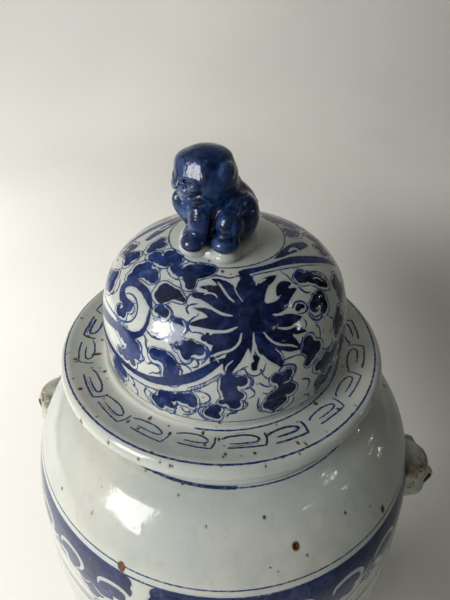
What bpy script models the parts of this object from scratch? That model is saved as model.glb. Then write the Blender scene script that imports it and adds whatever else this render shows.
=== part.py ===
"""Covered jar: a two-section body on a foot ring, a short neck, four moulded mask lugs at the shoulder, and a
hat-shaped cover (domed crown, flat brim, locating collar) that carries a seated lion on a small clay pad.

Metres, +Z up, the jar standing on z = 0 with its axis on the world Z axis.
"""

import math

import bpy
from mathutils import Matrix, Vector

# ---------------------------------------------------------------- driving dimensions
STEPS = 48  # turned parts: facets round the axis
GAP = 0.0003  # clearance between pieces that touch

FOOT_OUTER_R = 0.1120
FOOT_INNER_R = 0.0985
FOOT_HEIGHT = 0.0120

BODY_WALL = 0.0095
FLOOR_THICKNESS = 0.0120
SEAM_Z = 0.2720  # the widest girth, where the two thrown sections are luted together
SEAM_R = 0.1601
SHOULDER_TOP_Z = 0.4218
SHOULDER_TOP_R = 0.1022

NECK_OUTER_R = 0.1000
NECK_WALL = 0.0095
NECK_TOP_Z = 0.4440

BRIM_OUTER_R = 0.1165
BRIM_TOP_Z = 0.4535
DOME_FOOT_R = 0.0838
DOME_TOP_Z = 0.5432
DOME_WALL = 0.0070

COLLAR_OUTER_R = 0.0868
COLLAR_INNER_R = 0.0812
COLLAR_DEPTH = 0.0170

PAD_CENTRE = (-0.0040, -0.0060)
PAD_RADII = (0.0275, 0.0240)
PAD_TOP_Z = 0.5468

LION_HEADING = math.radians(-130.0)  # direction the lion faces, from +X
LION_AT = (0.0002, -0.0052)  # the lion sits forward of the jar's axis
LION_SIZE = 1.09  # plan scale of the forms below
LION_TOP_Z = 0.6000

LUG_HEADING = math.radians(-101.5)  # direction of the front lug, from +X
LUG_Z = 0.3410
LUG_BODY_R = 0.1545  # outer radius of the body at the lug's height

# ---------------------------------------------------------------- turned outlines, (radius, z), top to bottom
SHOULDER_OUTER = [
    (SHOULDER_TOP_R, SHOULDER_TOP_Z),
    (0.1107, 0.4195),
    (0.1223, 0.4139),
    (0.1340, 0.4022),
    (0.1421, 0.3906),
    (0.1471, 0.3813),
    (0.1515, 0.3661),
    (LUG_BODY_R, 0.3487),
    (0.1567, 0.3254),
    (0.1590, 0.3021),
    (SEAM_R, SEAM_Z),
]
BELLY_OUTER = [
    (SEAM_R, SEAM_Z - GAP),
    (0.1596, 0.2500),
    (0.1578, 0.2250),
    (0.1543, 0.1980),
    (0.1493, 0.1700),
    (0.1429, 0.1400),
    (0.1355, 0.1100),
    (0.1277, 0.0800),
    (0.1203, 0.0530),
    (0.1150, 0.0330),
    (0.1130, 0.0210),
    (0.1134, FOOT_HEIGHT + GAP),
]
DOME_OUTER = [
    (0.0000, DOME_TOP_Z),
    (0.0117, 0.5429),
    (0.0233, 0.5419),
    (0.0341, 0.5400),
    (0.0431, 0.5377),
    (0.0536, 0.5339),
    (0.0635, 0.5290),
    (0.0706, 0.5234),
    (0.0754, 0.5176),
    (0.0789, 0.5118),
    (0.0827, 0.5001),
    (0.0848, 0.4885),
    (0.0859, 0.4760),
    (0.0858, 0.4650),
    (0.0849, 0.4575),
    (DOME_FOOT_R, BRIM_TOP_Z),
    (DOME_FOOT_R, NECK_TOP_Z + GAP),
]


def offset_inward(outline, distance):
    """The outline moved towards the axis by distance along its own normals."""
    moved = []
    for i, (radius, z) in enumerate(outline):
        before = outline[max(i - 1, 0)]
        after = outline[min(i + 1, len(outline) - 1)]
        run = after[0] - before[0]
        fall = after[1] - before[1]
        length = math.hypot(run, fall)
        moved.append((max(radius + distance * fall / length, 0.0), z - distance * run / length))
    return moved


def material(name, colour, roughness, coat=0.0):
    made = bpy.data.materials.new(name)
    made.use_nodes = True
    shader = made.node_tree.nodes["Principled BSDF"]
    shader.inputs["Base Color"].default_value = (*colour, 1.0)
    shader.inputs["Roughness"].default_value = roughness
    shader.inputs["Coat Weight"].default_value = coat
    return made


def collection(name):
    made = bpy.data.collections.new(name)
    bpy.context.scene.collection.children.link(made)
    return made


def place(name, mesh, home, surface=None, smooth=True):
    """A new object holding mesh, in the collection home."""
    if surface is not None:
        mesh.materials.clear()
        mesh.materials.append(surface)
    if smooth:
        mesh.shade_smooth()
    made = bpy.data.objects.new(name, mesh)
    home.objects.link(made)
    return made


def turned(name, outline, home, surface=None, closed=True):
    """Outline swept once round Z by the Screw modifier. A closed outline makes a ring."""
    mesh = bpy.data.meshes.new(name)
    edges = [(i, i + 1) for i in range(len(outline) - 1)]
    if closed:
        edges.append((len(outline) - 1, 0))
    mesh.from_pydata([(radius, 0.0, z) for radius, z in outline], edges, [])
    made = place(name, mesh, home, surface)
    screw = made.modifiers.new("turn", "SCREW")
    screw.axis = "Z"
    screw.angle = math.tau
    screw.steps = STEPS
    screw.render_steps = STEPS
    screw.use_merge_vertices = True
    screw.merge_threshold = 0.00001
    screw.use_smooth_shade = True
    return made


def ellipsoid(name, centre, radii, home, tilt=0.0, segments=12, rings=7):
    """An ellipsoid about centre; tilt leans it about its own Y axis."""
    mesh = bpy.data.meshes.new(name)
    made = place(name, mesh, home)
    points = [(0.0, 0.0, radii[2])]
    for ring in range(1, rings):
        polar = math.pi * ring / rings
        for segment in range(segments):
            turn = math.tau * segment / segments
            points.append(
                (
                    radii[0] * math.sin(polar) * math.cos(turn),
                    radii[1] * math.sin(polar) * math.sin(turn),
                    radii[2] * math.cos(polar),
                )
            )
    points.append((0.0, 0.0, -radii[2]))
    last = len(points) - 1
    faces = []
    for segment in range(segments):
        following = (segment + 1) % segments
        faces.append((0, 1 + segment, 1 + following))
        for ring in range(rings - 2):
            upper = 1 + ring * segments
            lower = upper + segments
            faces.append((upper + segment, lower + segment, lower + following, upper + following))
        base = last - segments
        faces.append((base + following, base + segment, last))
    mesh.from_pydata(points, [], faces)
    mesh.transform(Matrix.Translation(Vector(centre)) @ Matrix.Rotation(tilt, 4, "Y"))
    return made


def hide(helper):
    helper.hide_render = True
    helper.display_type = "WIRE"


def join_solid(target, others, operation="UNION"):
    """Boolean modifiers on target for each of the others, which stay hidden cutters."""
    for other in others:
        step = target.modifiers.new(other.name, "BOOLEAN")
        step.operation = operation
        step.solver = "EXACT"
        step.object = other
        hide(other)


def settled_mesh(source, name):
    """The mesh of a helper object with its modifiers applied; the helper stays hidden."""
    hide(source)
    depsgraph = bpy.context.evaluated_depsgraph_get()
    mesh = bpy.data.meshes.new_from_object(source.evaluated_get(depsgraph), depsgraph=depsgraph)
    mesh.name = name
    return mesh


# ---------------------------------------------------------------- scene and materials
for leftover in list(bpy.data.objects):
    bpy.data.objects.remove(leftover, do_unlink=True)

JAR = collection("ginger_jar")
CUTTERS = collection("ginger_jar_cutters")

GLAZE = (0.74, 0.76, 0.73)
body_glaze = material("body_glaze", GLAZE, 0.12, 0.5)
shoulder_glaze = material("shoulder_glaze", (0.72, 0.74, 0.71), 0.12, 0.5)
neck_glaze = material("neck_glaze", (0.70, 0.72, 0.69), 0.16, 0.4)
brim_glaze = material("brim_glaze", (0.68, 0.71, 0.68), 0.14, 0.5)
dome_cobalt = material("dome_cobalt_on_glaze", (0.16, 0.21, 0.42), 0.12, 0.5)
collar_clay = material("collar_bare_clay", (0.66, 0.58, 0.47), 0.75)
foot_clay = material("foot_bare_clay", (0.62, 0.53, 0.42), 0.80)
pad_glaze = material("pad_glaze", (0.75, 0.77, 0.74), 0.15, 0.4)
lion_cobalt = material("lion_cobalt_glaze", (0.03, 0.05, 0.20), 0.10, 0.6)
lug_glaze = material("lug_glaze", (0.55, 0.53, 0.43), 0.22, 0.4)

# ---------------------------------------------------------------- jar: foot, belly, shoulder, neck
turned(
    "foot_ring",
    [
        (FOOT_OUTER_R, FOOT_HEIGHT),
        (FOOT_OUTER_R, 0.0015),
        (FOOT_OUTER_R - 0.0015, 0.0),
        (FOOT_INNER_R + 0.0015, 0.0),
        (FOOT_INNER_R, 0.0015),
        (FOOT_INNER_R, FOOT_HEIGHT),
    ],
    JAR,
    foot_clay,
)

belly_floor_z = FOOT_HEIGHT + GAP + FLOOR_THICKNESS
belly_inner = [p for p in offset_inward(BELLY_OUTER, BODY_WALL) if p[1] > belly_floor_z + 0.006]
belly_inner[0] = (SEAM_R - BODY_WALL, SEAM_Z - GAP)
turned(
    "jar_lower_body",
    [(0.0, belly_floor_z), (belly_inner[-1][0] - 0.008, belly_floor_z)]
    + belly_inner[::-1]
    + BELLY_OUTER
    + [(0.0, FOOT_HEIGHT + GAP)],
    JAR,
    body_glaze,
    closed=False,
)

shoulder_inner = offset_inward(SHOULDER_OUTER, BODY_WALL)
shoulder_inner[0] = (SHOULDER_TOP_R - BODY_WALL - 0.0015, SHOULDER_TOP_Z)
shoulder_inner[-1] = (SEAM_R - BODY_WALL, SEAM_Z)
turned("jar_upper_body", SHOULDER_OUTER + shoulder_inner[::-1], JAR, shoulder_glaze)

neck_inner_r = NECK_OUTER_R - NECK_WALL
turned(
    "jar_neck",
    [
        (NECK_OUTER_R - 0.0010, NECK_TOP_Z),
        (NECK_OUTER_R + 0.0006, NECK_TOP_Z - 0.0020),
        (NECK_OUTER_R, NECK_TOP_Z - 0.0080),
        (NECK_OUTER_R + 0.0008, SHOULDER_TOP_Z + 0.0040),
        (SHOULDER_TOP_R, SHOULDER_TOP_Z + GAP),
        (SHOULDER_TOP_R - BODY_WALL - 0.0015, SHOULDER_TOP_Z + GAP),
        (neck_inner_r, NECK_TOP_Z - 0.0080),
        (neck_inner_r, NECK_TOP_Z - 0.0015),
        (neck_inner_r + 0.0015, NECK_TOP_Z),
    ],
    JAR,
    neck_glaze,
)

# ---------------------------------------------------------------- cover: brim, dome, collar, pad
brim_under_z = NECK_TOP_Z + GAP
turned(
    "lid_brim",
    [
        (DOME_FOOT_R + GAP, BRIM_TOP_Z - 0.0004),
        (0.0955, BRIM_TOP_Z + 0.0006),
        (0.1050, BRIM_TOP_Z + 0.0028),
        (0.1102, BRIM_TOP_Z + 0.0036),
        (0.1140, BRIM_TOP_Z + 0.0026),
        (BRIM_OUTER_R - 0.0005, BRIM_TOP_Z - 0.0002),
        (BRIM_OUTER_R, BRIM_TOP_Z - 0.0040),
        (BRIM_OUTER_R - 0.0018, BRIM_TOP_Z - 0.0080),
        (BRIM_OUTER_R - 0.0060, brim_under_z),
        (DOME_FOOT_R + GAP, brim_under_z),
    ],
    JAR,
    brim_glaze,
)

dome_inner = offset_inward(DOME_OUTER, DOME_WALL)[::2]
dome_inner[0] = (0.0, DOME_TOP_Z - DOME_WALL)
dome_inner[-1] = (DOME_FOOT_R - DOME_WALL, brim_under_z)
turned("lid_dome", DOME_OUTER + dome_inner[::-1], JAR, dome_cobalt, closed=False)

collar_top_z = NECK_TOP_Z
turned(
    "lid_locating_collar",
    [
        (COLLAR_OUTER_R, collar_top_z),
        (COLLAR_OUTER_R - 0.0004, collar_top_z - COLLAR_DEPTH + 0.0015),
        (COLLAR_OUTER_R - 0.0015, collar_top_z - COLLAR_DEPTH),
        (COLLAR_INNER_R + 0.0010, collar_top_z - COLLAR_DEPTH),
        (COLLAR_INNER_R, collar_top_z - COLLAR_DEPTH + 0.0015),
        (COLLAR_INNER_R, collar_top_z),
    ],
    JAR,
    collar_clay,
)

dome_clearance = turned(
    "dome_clearance",
    offset_inward(DOME_OUTER[:9], -GAP) + [(0.0, DOME_OUTER[8][1] - 0.01)],
    CUTTERS,
    closed=False,
)
pad_blank = turned(
    "pad_blank",
    [
        (0.0, PAD_TOP_Z),
        (0.92, PAD_TOP_Z),
        (1.00, PAD_TOP_Z - 0.0012),
        (1.00, DOME_TOP_Z - 0.0040),
        (0.0, DOME_TOP_Z - 0.0040),
    ],
    CUTTERS,
    closed=False,
)
pad_mesh = settled_mesh(pad_blank, "finial_pad")
pad_mesh.transform(
    Matrix.Translation((*PAD_CENTRE, 0.0)) @ Matrix.Diagonal((PAD_RADII[0], PAD_RADII[1], 1.0, 1.0))
)
pad = place("finial_pad", pad_mesh, JAR, pad_glaze)
join_solid(pad, [dome_clearance], "DIFFERENCE")

# ---------------------------------------------------------------- lion: forward +X, left +Y, up +Z, from pad top
LION_FORMS = [
    # name, centre, radii, tilt
    ("chest", (0.0120, -0.0030, 0.0150), (0.0110, 0.0120, 0.0170), 0.20),
    ("back", (0.0010, -0.0010, 0.0155), (0.0145, 0.0140, 0.0160), -0.35),
    ("rump", (-0.0055, -0.0015, 0.0125), (0.0145, 0.0150, 0.0140), 0.0),
    ("mane", (0.0090, -0.0034, 0.0310), (0.0126, 0.0144, 0.0146), -0.25),
    ("head", (0.0140, -0.0034, 0.0366), (0.0160, 0.0166, 0.0142), 0.12),
    ("crown", (0.0130, -0.0034, 0.0448), (0.0125, 0.0130, 0.0050), 0.10),
    ("muzzle", (0.0241, -0.0050, 0.0310), (0.0066, 0.0098, 0.0074), 0.25),
    ("chin", (0.0222, -0.0032, 0.0245), (0.0075, 0.0092, 0.0052), 0.20),
]
LION_LIMBS = [
    ("left_foreleg", (0.0218, 0.0002, 0.0110), (0.0068, 0.0068, 0.0150), 0.0),
    ("left_forepaw", (0.0270, 0.0002, 0.0038), (0.0078, 0.0070, 0.0052), 0.0),
    ("right_foreleg", (0.0170, -0.0096, 0.0110), (0.0068, 0.0068, 0.0150), 0.0),
    ("right_forepaw", (0.0222, -0.0096, 0.0038), (0.0078, 0.0070, 0.0052), 0.0),
    ("right_elbow", (0.0206, -0.0156, 0.0194), (0.0048, 0.0042, 0.0074), 0.30),
    ("left_haunch", (0.0029, 0.0122, 0.0130), (0.0125, 0.0084, 0.0134), 0.0),
    ("left_knee", (0.0144, 0.0136, 0.0136), (0.0076, 0.0072, 0.0084), 0.0),
    ("left_hindpaw", (0.0174, 0.0140, 0.0044), (0.0084, 0.0076, 0.0056), 0.0),
    ("right_haunch", (-0.0021, -0.0156, 0.0130), (0.0125, 0.0084, 0.0134), 0.0),
    ("right_knee", (0.0094, -0.0170, 0.0136), (0.0076, 0.0072, 0.0084), 0.0),
    ("right_hindpaw", (0.0124, -0.0174, 0.0044), (0.0084, 0.0076, 0.0056), 0.0),
]

lion_solids = [ellipsoid(n, c, r, CUTTERS, t) for n, c, r, t in LION_FORMS]
lion_solids += [ellipsoid(n, c, r, CUTTERS, t, 10, 6) for n, c, r, t in LION_LIMBS]
lion_core = lion_solids[0]
join_solid(lion_core, lion_solids[1:])
lion_mesh = settled_mesh(lion_core, "lion_finial")
lion_top = max(v.co.z for v in lion_mesh.vertices)
lion_base_z = PAD_TOP_Z + GAP
lion_mesh.transform(
    Matrix.Translation((*LION_AT, lion_base_z))
    @ Matrix.Rotation(LION_HEADING, 4, "Z")
    @ Matrix.Diagonal((LION_SIZE, LION_SIZE, (LION_TOP_Z - lion_base_z) / lion_top, 1.0))
)
lion = place("lion_finial", lion_mesh, JAR, lion_cobalt)
pad_plane = turned(
    "pad_plane",
    [(0.0, lion_base_z), (0.05, lion_base_z), (0.05, lion_base_z - 0.02), (0.0, lion_base_z - 0.02)],
    CUTTERS,
    closed=False,
)
join_solid(lion, [pad_plane], "DIFFERENCE")

# ---------------------------------------------------------------- lugs: outward +X, up +Z, from the body surface
LUG_FORMS = [
    ("mask_face", (0.0014, 0.0000, 0.0000), (0.0149, 0.0201, 0.0297), 0.0),
    ("mask_brow", (0.0114, 0.0000, 0.0131), (0.0092, 0.0138, 0.0076), 0.3),
    ("mask_snout", (0.0149, 0.0000, -0.0041), (0.0121, 0.0090, 0.0103), 0.2),
    ("mask_jaw", (0.0121, 0.0000, -0.0172), (0.0092, 0.0106, 0.0083), 0.0),
    ("mask_nose", (0.0234, 0.0000, 0.0000), (0.0050, 0.0053, 0.0048), 0.0),
]
LUG_PAIRS = [
    ("mask_ear", (0.0043, 0.0170, 0.0193), (0.0078, 0.0058, 0.0097), 0.0),
    ("mask_cheek", (0.0114, 0.0111, -0.0083), (0.0085, 0.0064, 0.0090), 0.0),
]

lug_solids = [ellipsoid(n, c, r, CUTTERS, t, 12, 6) for n, c, r, t in LUG_FORMS]
for form, centre, radii, tilt in LUG_PAIRS:
    for side, word in ((1.0, "left"), (-1.0, "right")):
        middle = (centre[0], side * centre[1], centre[2])
        lug_solids.append(ellipsoid(f"{word}_{form}", middle, radii, CUTTERS, tilt, 8, 5))
lug_core = lug_solids[0]
join_solid(lug_core, lug_solids[1:])
lug_blank = settled_mesh(lug_core, "mask_blank")
lug_blank.transform(
    Matrix.Rotation(LUG_HEADING, 4, "Z") @ Matrix.Translation((LUG_BODY_R, 0.0, LUG_Z))
)
lug_cut = place("mask_cut", lug_blank, CUTTERS)
body_clearance = turned(
    "body_clearance",
    offset_inward(SHOULDER_OUTER, -GAP) + [(0.0, SEAM_Z), (0.0, SHOULDER_TOP_Z)],
    CUTTERS,
)
join_solid(lug_cut, [body_clearance], "DIFFERENCE")
lug_mesh = settled_mesh(lug_cut, "mask_lug")
lug_centre = Matrix.Rotation(LUG_HEADING, 4, "Z") @ Vector((LUG_BODY_R, 0.0, LUG_Z))
lug_mesh.transform(Matrix.Translation(-lug_centre))
for quarter, where in enumerate(("front", "right", "back", "left")):
    lug = place(f"{where}_mask_lug", lug_mesh, JAR, lug_glaze)
    turn = Matrix.Rotation(quarter * math.tau / 4, 4, "Z")
    lug.matrix_world = turn @ Matrix.Translation(lug_centre)
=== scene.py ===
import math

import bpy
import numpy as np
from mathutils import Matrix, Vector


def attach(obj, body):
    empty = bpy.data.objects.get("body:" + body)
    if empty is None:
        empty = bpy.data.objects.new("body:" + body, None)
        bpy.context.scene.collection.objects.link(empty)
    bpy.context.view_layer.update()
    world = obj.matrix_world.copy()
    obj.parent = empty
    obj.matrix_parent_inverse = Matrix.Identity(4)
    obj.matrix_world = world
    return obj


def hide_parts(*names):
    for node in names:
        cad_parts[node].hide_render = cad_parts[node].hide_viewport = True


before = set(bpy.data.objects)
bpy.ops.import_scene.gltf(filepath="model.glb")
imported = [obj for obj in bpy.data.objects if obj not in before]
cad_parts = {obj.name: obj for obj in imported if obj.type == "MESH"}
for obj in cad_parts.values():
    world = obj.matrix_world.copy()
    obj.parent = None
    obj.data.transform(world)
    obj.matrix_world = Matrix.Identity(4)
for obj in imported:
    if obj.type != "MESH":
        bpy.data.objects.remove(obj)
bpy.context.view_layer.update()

# A large blue-and-white covered ginger jar, dressed for its portrait.
#
# The turned parts are dense lathe surfaces that carry brushwork as distances in their vertices; the lion
# and the mask lugs are modelled as blended clay forms. Painting is laid out in degrees round the jar from the
# viewer's side (positive to the right) and millimetres down the outline of each part.

FAR = 50.0  # millimetres: "no paint anywhere near"


# ================================================================ outlines
def smooth_path(points, step):
    """A Catmull-Rom curve through the points, resampled at equal steps of its own length."""
    points = np.asarray(points, float)
    padded = np.vstack([2 * points[0] - points[1], points, 2 * points[-1] - points[-2]])
    u = np.linspace(0.0, 1.0, 25)[:-1, None]
    pieces = []
    for a, b, c, d in zip(padded, padded[1:], padded[2:], padded[3:]):
        pieces.append(
            0.5 * (2 * b + (c - a) * u + (2 * a - 5 * b + 4 * c - d) * u**2 + (3 * b - a - 3 * c + d) * u**3)
        )
    curve = np.vstack(pieces + [points[-1:]])
    length = np.concatenate([[0.0], np.cumsum(np.linalg.norm(np.diff(curve, axis=0), axis=1))])
    count = max(2, int(round(length[-1] / step)) + 1)
    even = np.linspace(0.0, length[-1], count)
    return np.stack([np.interp(even, length, column) for column in curve.T], axis=1)


DOME_OUTER = [
    (0.0006, 0.54320), (0.0117, 0.5429), (0.0233, 0.5419), (0.0341, 0.5400), (0.0431, 0.5377), (0.0536, 0.5339),
    (0.0635, 0.5290), (0.0706, 0.5234), (0.0754, 0.5176), (0.0789, 0.5118), (0.0827, 0.5001), (0.0848, 0.4885),
    (0.0859, 0.4760), (0.0858, 0.4650), (0.0852, 0.4590), (0.0846, 0.4556), (0.0846, 0.4530),
]
DOME_INNER = [
    (0.0840, 0.4440), (0.0775, 0.4440), (0.0780, 0.4560), (0.0789, 0.4740), (0.0778, 0.4880), (0.0757, 0.4990),
    (0.0715, 0.5090), (0.0650, 0.5180), (0.0560, 0.5245), (0.0430, 0.5300), (0.0240, 0.5345), (0.0006, 0.5362),
]
BRIM_TOP = [
    (0.0850, 0.4552), (0.0868, 0.4538), (0.0900, 0.4534), (0.0955, 0.4541), (0.1050, 0.4562), (0.1102, 0.4573),
    (0.1135, 0.4568), (0.1158, 0.4546), (0.1167, 0.4515), (0.1164, 0.4482), (0.1148, 0.4457),
]
BRIM_UNDER = [
    (0.1148, 0.4457), (0.1120, 0.4446), (0.1040, 0.4443), (0.0900, 0.4443), (0.0830, 0.4446), (0.0812, 0.4462),
    (0.0812, 0.4535), (0.0830, 0.4552),
]
COLLAR = [
    (0.0868, 0.4440), (0.0866, 0.4330), (0.0862, 0.4282), (0.0850, 0.4270), (0.0832, 0.4269), (0.0818, 0.4276),
    (0.0812, 0.4300), (0.0812, 0.4440),
]
NECK_OUTER = [
    (0.0925, 0.4436), (0.0960, 0.4440), (0.0990, 0.4436), (0.1005, 0.4418), (0.1004, 0.4370), (0.1000, 0.4320),
    (0.1003, 0.4270), (0.1014, 0.4236), (0.1030, 0.4217),
]
NECK_INNER = [(0.0925, 0.4200), (0.0910, 0.4260), (0.0905, 0.4340), (0.0906, 0.4410), (0.0925, 0.4436)]
SHOULDER_OUTER = [
    (0.1022, 0.4218), (0.1060, 0.4208), (0.1107, 0.4193), (0.1223, 0.4137), (0.1340, 0.4022), (0.1421, 0.3906),
    (0.1471, 0.3805), (0.1515, 0.3661), (0.1545, 0.3487), (0.1567, 0.3254), (0.1590, 0.3021), (0.1600, 0.2840),
    (0.1601, 0.2719),
]
SHOULDER_INNER = [
    (0.1506, 0.2719), (0.1495, 0.3021), (0.1472, 0.3254), (0.1450, 0.3480), (0.1420, 0.3640), (0.1375, 0.3790),
    (0.1280, 0.3950), (0.1150, 0.4060), (0.1010, 0.4130), (0.0930, 0.4190), (0.0925, 0.4216),
]
BELLY_OUTER = [
    (0.1601, 0.2719), (0.1596, 0.2500), (0.1578, 0.2250), (0.1543, 0.1980), (0.1493, 0.1700), (0.1429, 0.1400),
    (0.1355, 0.1100), (0.1277, 0.0800), (0.1203, 0.0530), (0.1150, 0.0330), (0.1131, 0.0220), (0.1129, 0.0160),
    (0.1126, 0.0124),
]
BELLY_INNER = [
    (0.0990, 0.0122), (0.0500, 0.0126), (0.0004, 0.0128), (0.0004, 0.0240), (0.0600, 0.0243), (0.0940, 0.0250),
    (0.1040, 0.0330), (0.1100, 0.0530), (0.1180, 0.0800), (0.1260, 0.1100), (0.1335, 0.1400), (0.1395, 0.1700),
    (0.1445, 0.1980), (0.1482, 0.2250), (0.1500, 0.2500), (0.1506, 0.2719),
]
FOOT = [
    (0.1112, 0.0123), (0.1120, 0.0100), (0.1118, 0.0020), (0.1104, 0.0003), (0.1050, 0.0001), (0.1000, 0.0003),
    (0.0986, 0.0018), (0.0986, 0.0120),
]


# ================================================================ brushwork
class Strokes:
    """For each vertex, the offset to the nearest stroke's middle and that stroke's half width, in millimetres."""

    def __init__(self, shape):
        self.across = np.full(shape, FAR)
        self.along = np.full(shape, FAR)
        self.half = np.zeros(shape)
        self.edge = np.full(shape, FAR)
        self.depth = np.zeros(shape)

    def lay(self, where, across, along, half, depth):
        edge = np.hypot(across, along) - half
        nearer = edge < self.edge[where]
        for store, fresh in (
            (self.across, across),
            (self.along, along),
            (self.half, half),
            (self.edge, edge),
            (self.depth, depth),
        ):
            store[where] = np.where(nearer, fresh, store[where])


class Painting:
    """Brushwork on the outer rows of one turned part."""

    def __init__(self, path, columns):
        step = np.linalg.norm(np.diff(path, axis=0), axis=1)
        self.down = np.concatenate([[0.0], np.cumsum(step)]) * 1000.0
        self.radius = path[:, 0] * 1000.0
        self.columns = columns
        shape = (len(path), columns)
        self.line = Strokes(shape)
        self.spare = Strokes(shape)
        self.wash = np.full(shape, FAR)
        self.tone = np.zeros(shape)
        self.spot = np.full(shape, FAR)

    def window(self, turns, downs, margin):
        """The patch of vertices round some points: its index, its degrees and its radii and distances down."""
        rows = np.flatnonzero((self.down > np.min(downs) - margin) & (self.down < np.max(downs) + margin))
        if not len(rows):
            return None
        spread = math.degrees(margin / max(self.radius[rows].min(), 1.0))
        pitch = 360.0 / self.columns
        first = math.floor((np.min(turns) - spread) / pitch)
        last = math.ceil((np.max(turns) + spread) / pitch)
        last = min(last, first + self.columns - 1)
        index = np.arange(first, last + 1)
        where = np.ix_(rows, index % self.columns)
        degrees, down = np.meshgrid(index * pitch, self.down[rows])
        return where, degrees, np.repeat(self.radius[rows][:, None], len(index), axis=1), down

    def trace(self, points, step=1.3):
        """Points (degrees, down) or (degrees, down, half width) as a dense smooth run."""
        points = np.asarray(points, float)
        scale = np.radians(1.0) * np.interp(points[:, 1], self.down, self.radius)
        flat = points.copy()
        flat[:, 0] *= scale.mean()
        dense = smooth_path(flat, step)
        dense[:, 0] /= scale.mean()
        return dense

    def stroke(self, points, half, layer="line", depth=0.6, ends=(0.55, 0.35)):
        """A brush line that swells in the middle and thins towards its ends."""
        run = self.trace([p[:2] for p in points])
        share = np.linspace(0.0, 1.0, len(run))
        swell = np.minimum(1.0, np.minimum(ends[0] + share * 4.0, ends[1] + (1.0 - share) * 3.0))
        widths = half * swell
        target = getattr(self, layer)
        for a, b, wa, wb in zip(run, run[1:], widths, widths[1:]):
            patch = self.window([a[0], b[0]], [a[1], b[1]], half + 2.6)
            if patch is None:
                continue
            where, degrees, radius, down = patch
            reach = np.radians(1.0) * radius
            ax, ay = (degrees - a[0]) * reach, down - a[1]
            bx, by = (b[0] - a[0]) * reach, b[1] - a[1]
            k = np.clip((ax * bx + ay * by) / (bx * bx + by * by + 1e-9), 0.0, 1.0)
            target.lay(where, ax - k * bx, ay - k * by, wa + (wb - wa) * k, np.full_like(k, depth))

    def lobes_distance(self, patch, lobes, blend=1.3):
        """Distance to discs (degrees, down, radius) that melt into each other."""
        where, degrees, radius, down = patch
        total = np.full(degrees.shape, FAR)
        for turn, height, size in lobes:
            one = np.hypot((degrees - turn) * np.radians(1.0) * radius, down - height) - size
            h = np.clip(0.5 + 0.5 * (total - one) / blend, 0.0, 1.0)
            total = total * (1 - h) + one * h - blend * h * (1 - h)
        return total

    def leaf(self, lobes, tone=0.5, outline=None, gap=1.35, half=0.34):
        """A leaf of cobalt wash; outline shifts a fine contour line round it, in millimetres (right, down)."""
        lobes = np.asarray(lobes, float)
        patch = self.window(lobes[:, 0], lobes[:, 1], lobes[:, 2].max() + 5.0)
        if patch is None:
            return
        where, degrees, radius, down = patch
        body = self.lobes_distance(patch, lobes)
        nearer = body < self.wash[where]
        self.tone[where] = np.where(nearer, tone, self.tone[where])
        self.wash[where] = np.minimum(self.wash[where], body)
        if outline is not None:
            moved = lobes.copy()
            moved[:, 0] += np.degrees(outline[0] / np.interp(lobes[:, 1], self.down, self.radius))
            moved[:, 1] += outline[1]
            ring = self.lobes_distance(patch, moved) - gap
            by_row, by_column = np.gradient(ring)
            tall = np.gradient(down, axis=0)
            wide = np.radians(360.0 / self.columns) * radius
            slope_x, slope_y = by_column / wide, by_row / tall
            size = np.hypot(slope_x, slope_y) + 1e-6
            thin = np.where(body > 0.2, half, 0.0)
            self.line.lay(where, ring * slope_x / size, ring * slope_y / size, thin, np.full_like(ring, 0.55))

    def sweep(self, points, tone=0.5):
        """A broad wash stroke through (degrees, down, half width)."""
        run = self.trace(points, 1.6)
        for group in range(0, len(run), 8):
            lobes = run[group : group + 9]
            patch = self.window(lobes[:, 0], lobes[:, 1], lobes[:, 2].max() + 4.0)
            if patch is None:
                continue
            where, degrees, radius, down = patch
            body = np.full(degrees.shape, FAR)
            for turn, height, size in lobes:
                one = np.hypot((degrees - turn) * np.radians(1.0) * radius, down - height) - size
                body = np.minimum(body, one)
            nearer = body < self.wash[where]
            self.tone[where] = np.where(nearer, tone, self.tone[where])
            self.wash[where] = np.minimum(self.wash[where], body)

    def ring(self, height, half, wave=0.4, phase=0.0, start=-180.0, end=180.0, depth=0.6):
        """A line drawn round the jar on the wheel, not quite level."""
        turns = np.arange(start, end + 3.0, 6.0)
        drift = wave * (np.sin(np.radians(turns) + phase) + 0.35 * np.sin(np.radians(turns * 3.0) + phase * 2.0))
        self.stroke(np.stack([turns, height + drift], axis=1), half, depth=depth, ends=(1.0, 1.0))

    def iron(self, turn, height, size, stretch=1.0):
        """A rusty speck or blister, its size and its tallness against its width."""
        patch = self.window([turn], [height], size * stretch + 4.0)
        if patch is None:
            return
        where, degrees, radius, down = patch
        across = (degrees - turn) * np.radians(1.0) * radius
        away = np.hypot(across, (down - height) / stretch) - size
        self.spot[where] = np.minimum(self.spot[where], away)


class Stamp:
    """Lays a drawing somewhere else on another part, larger or smaller."""

    def __init__(self, painting, turn=0.0, turn_from=0.0, spread=1.0, down=0.0, down_from=0.0, size=1.0):
        self.painting, self.turn, self.turn_from, self.spread = painting, turn, turn_from, spread
        self.down, self.down_from, self.size = down, down_from, size

    def moved(self, points):
        """Points of the drawing where the stamp puts them."""
        moved = np.array([tuple(p) for p in points], float)
        moved[:, 0] = self.turn + (moved[:, 0] - self.turn_from) * self.spread
        moved[:, 1] = self.down + (moved[:, 1] - self.down_from) * self.size
        if moved.shape[1] > 2:
            moved[:, 2] *= self.size
        return moved

    def stroke(self, points, half, **options):
        self.painting.stroke(self.moved(points), half * self.size, **options)

    def leaf(self, lobes, tone=0.5, outline=None):
        if outline is not None:
            outline = (outline[0] * self.size, outline[1] * self.size)
        self.painting.leaf(
            self.moved(lobes), tone, outline, 1.35 * self.size, 0.34 * max(self.size, 1.15)
        )

    def sweep(self, points, tone=0.5):
        self.painting.sweep(self.moved(points), tone)


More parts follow.
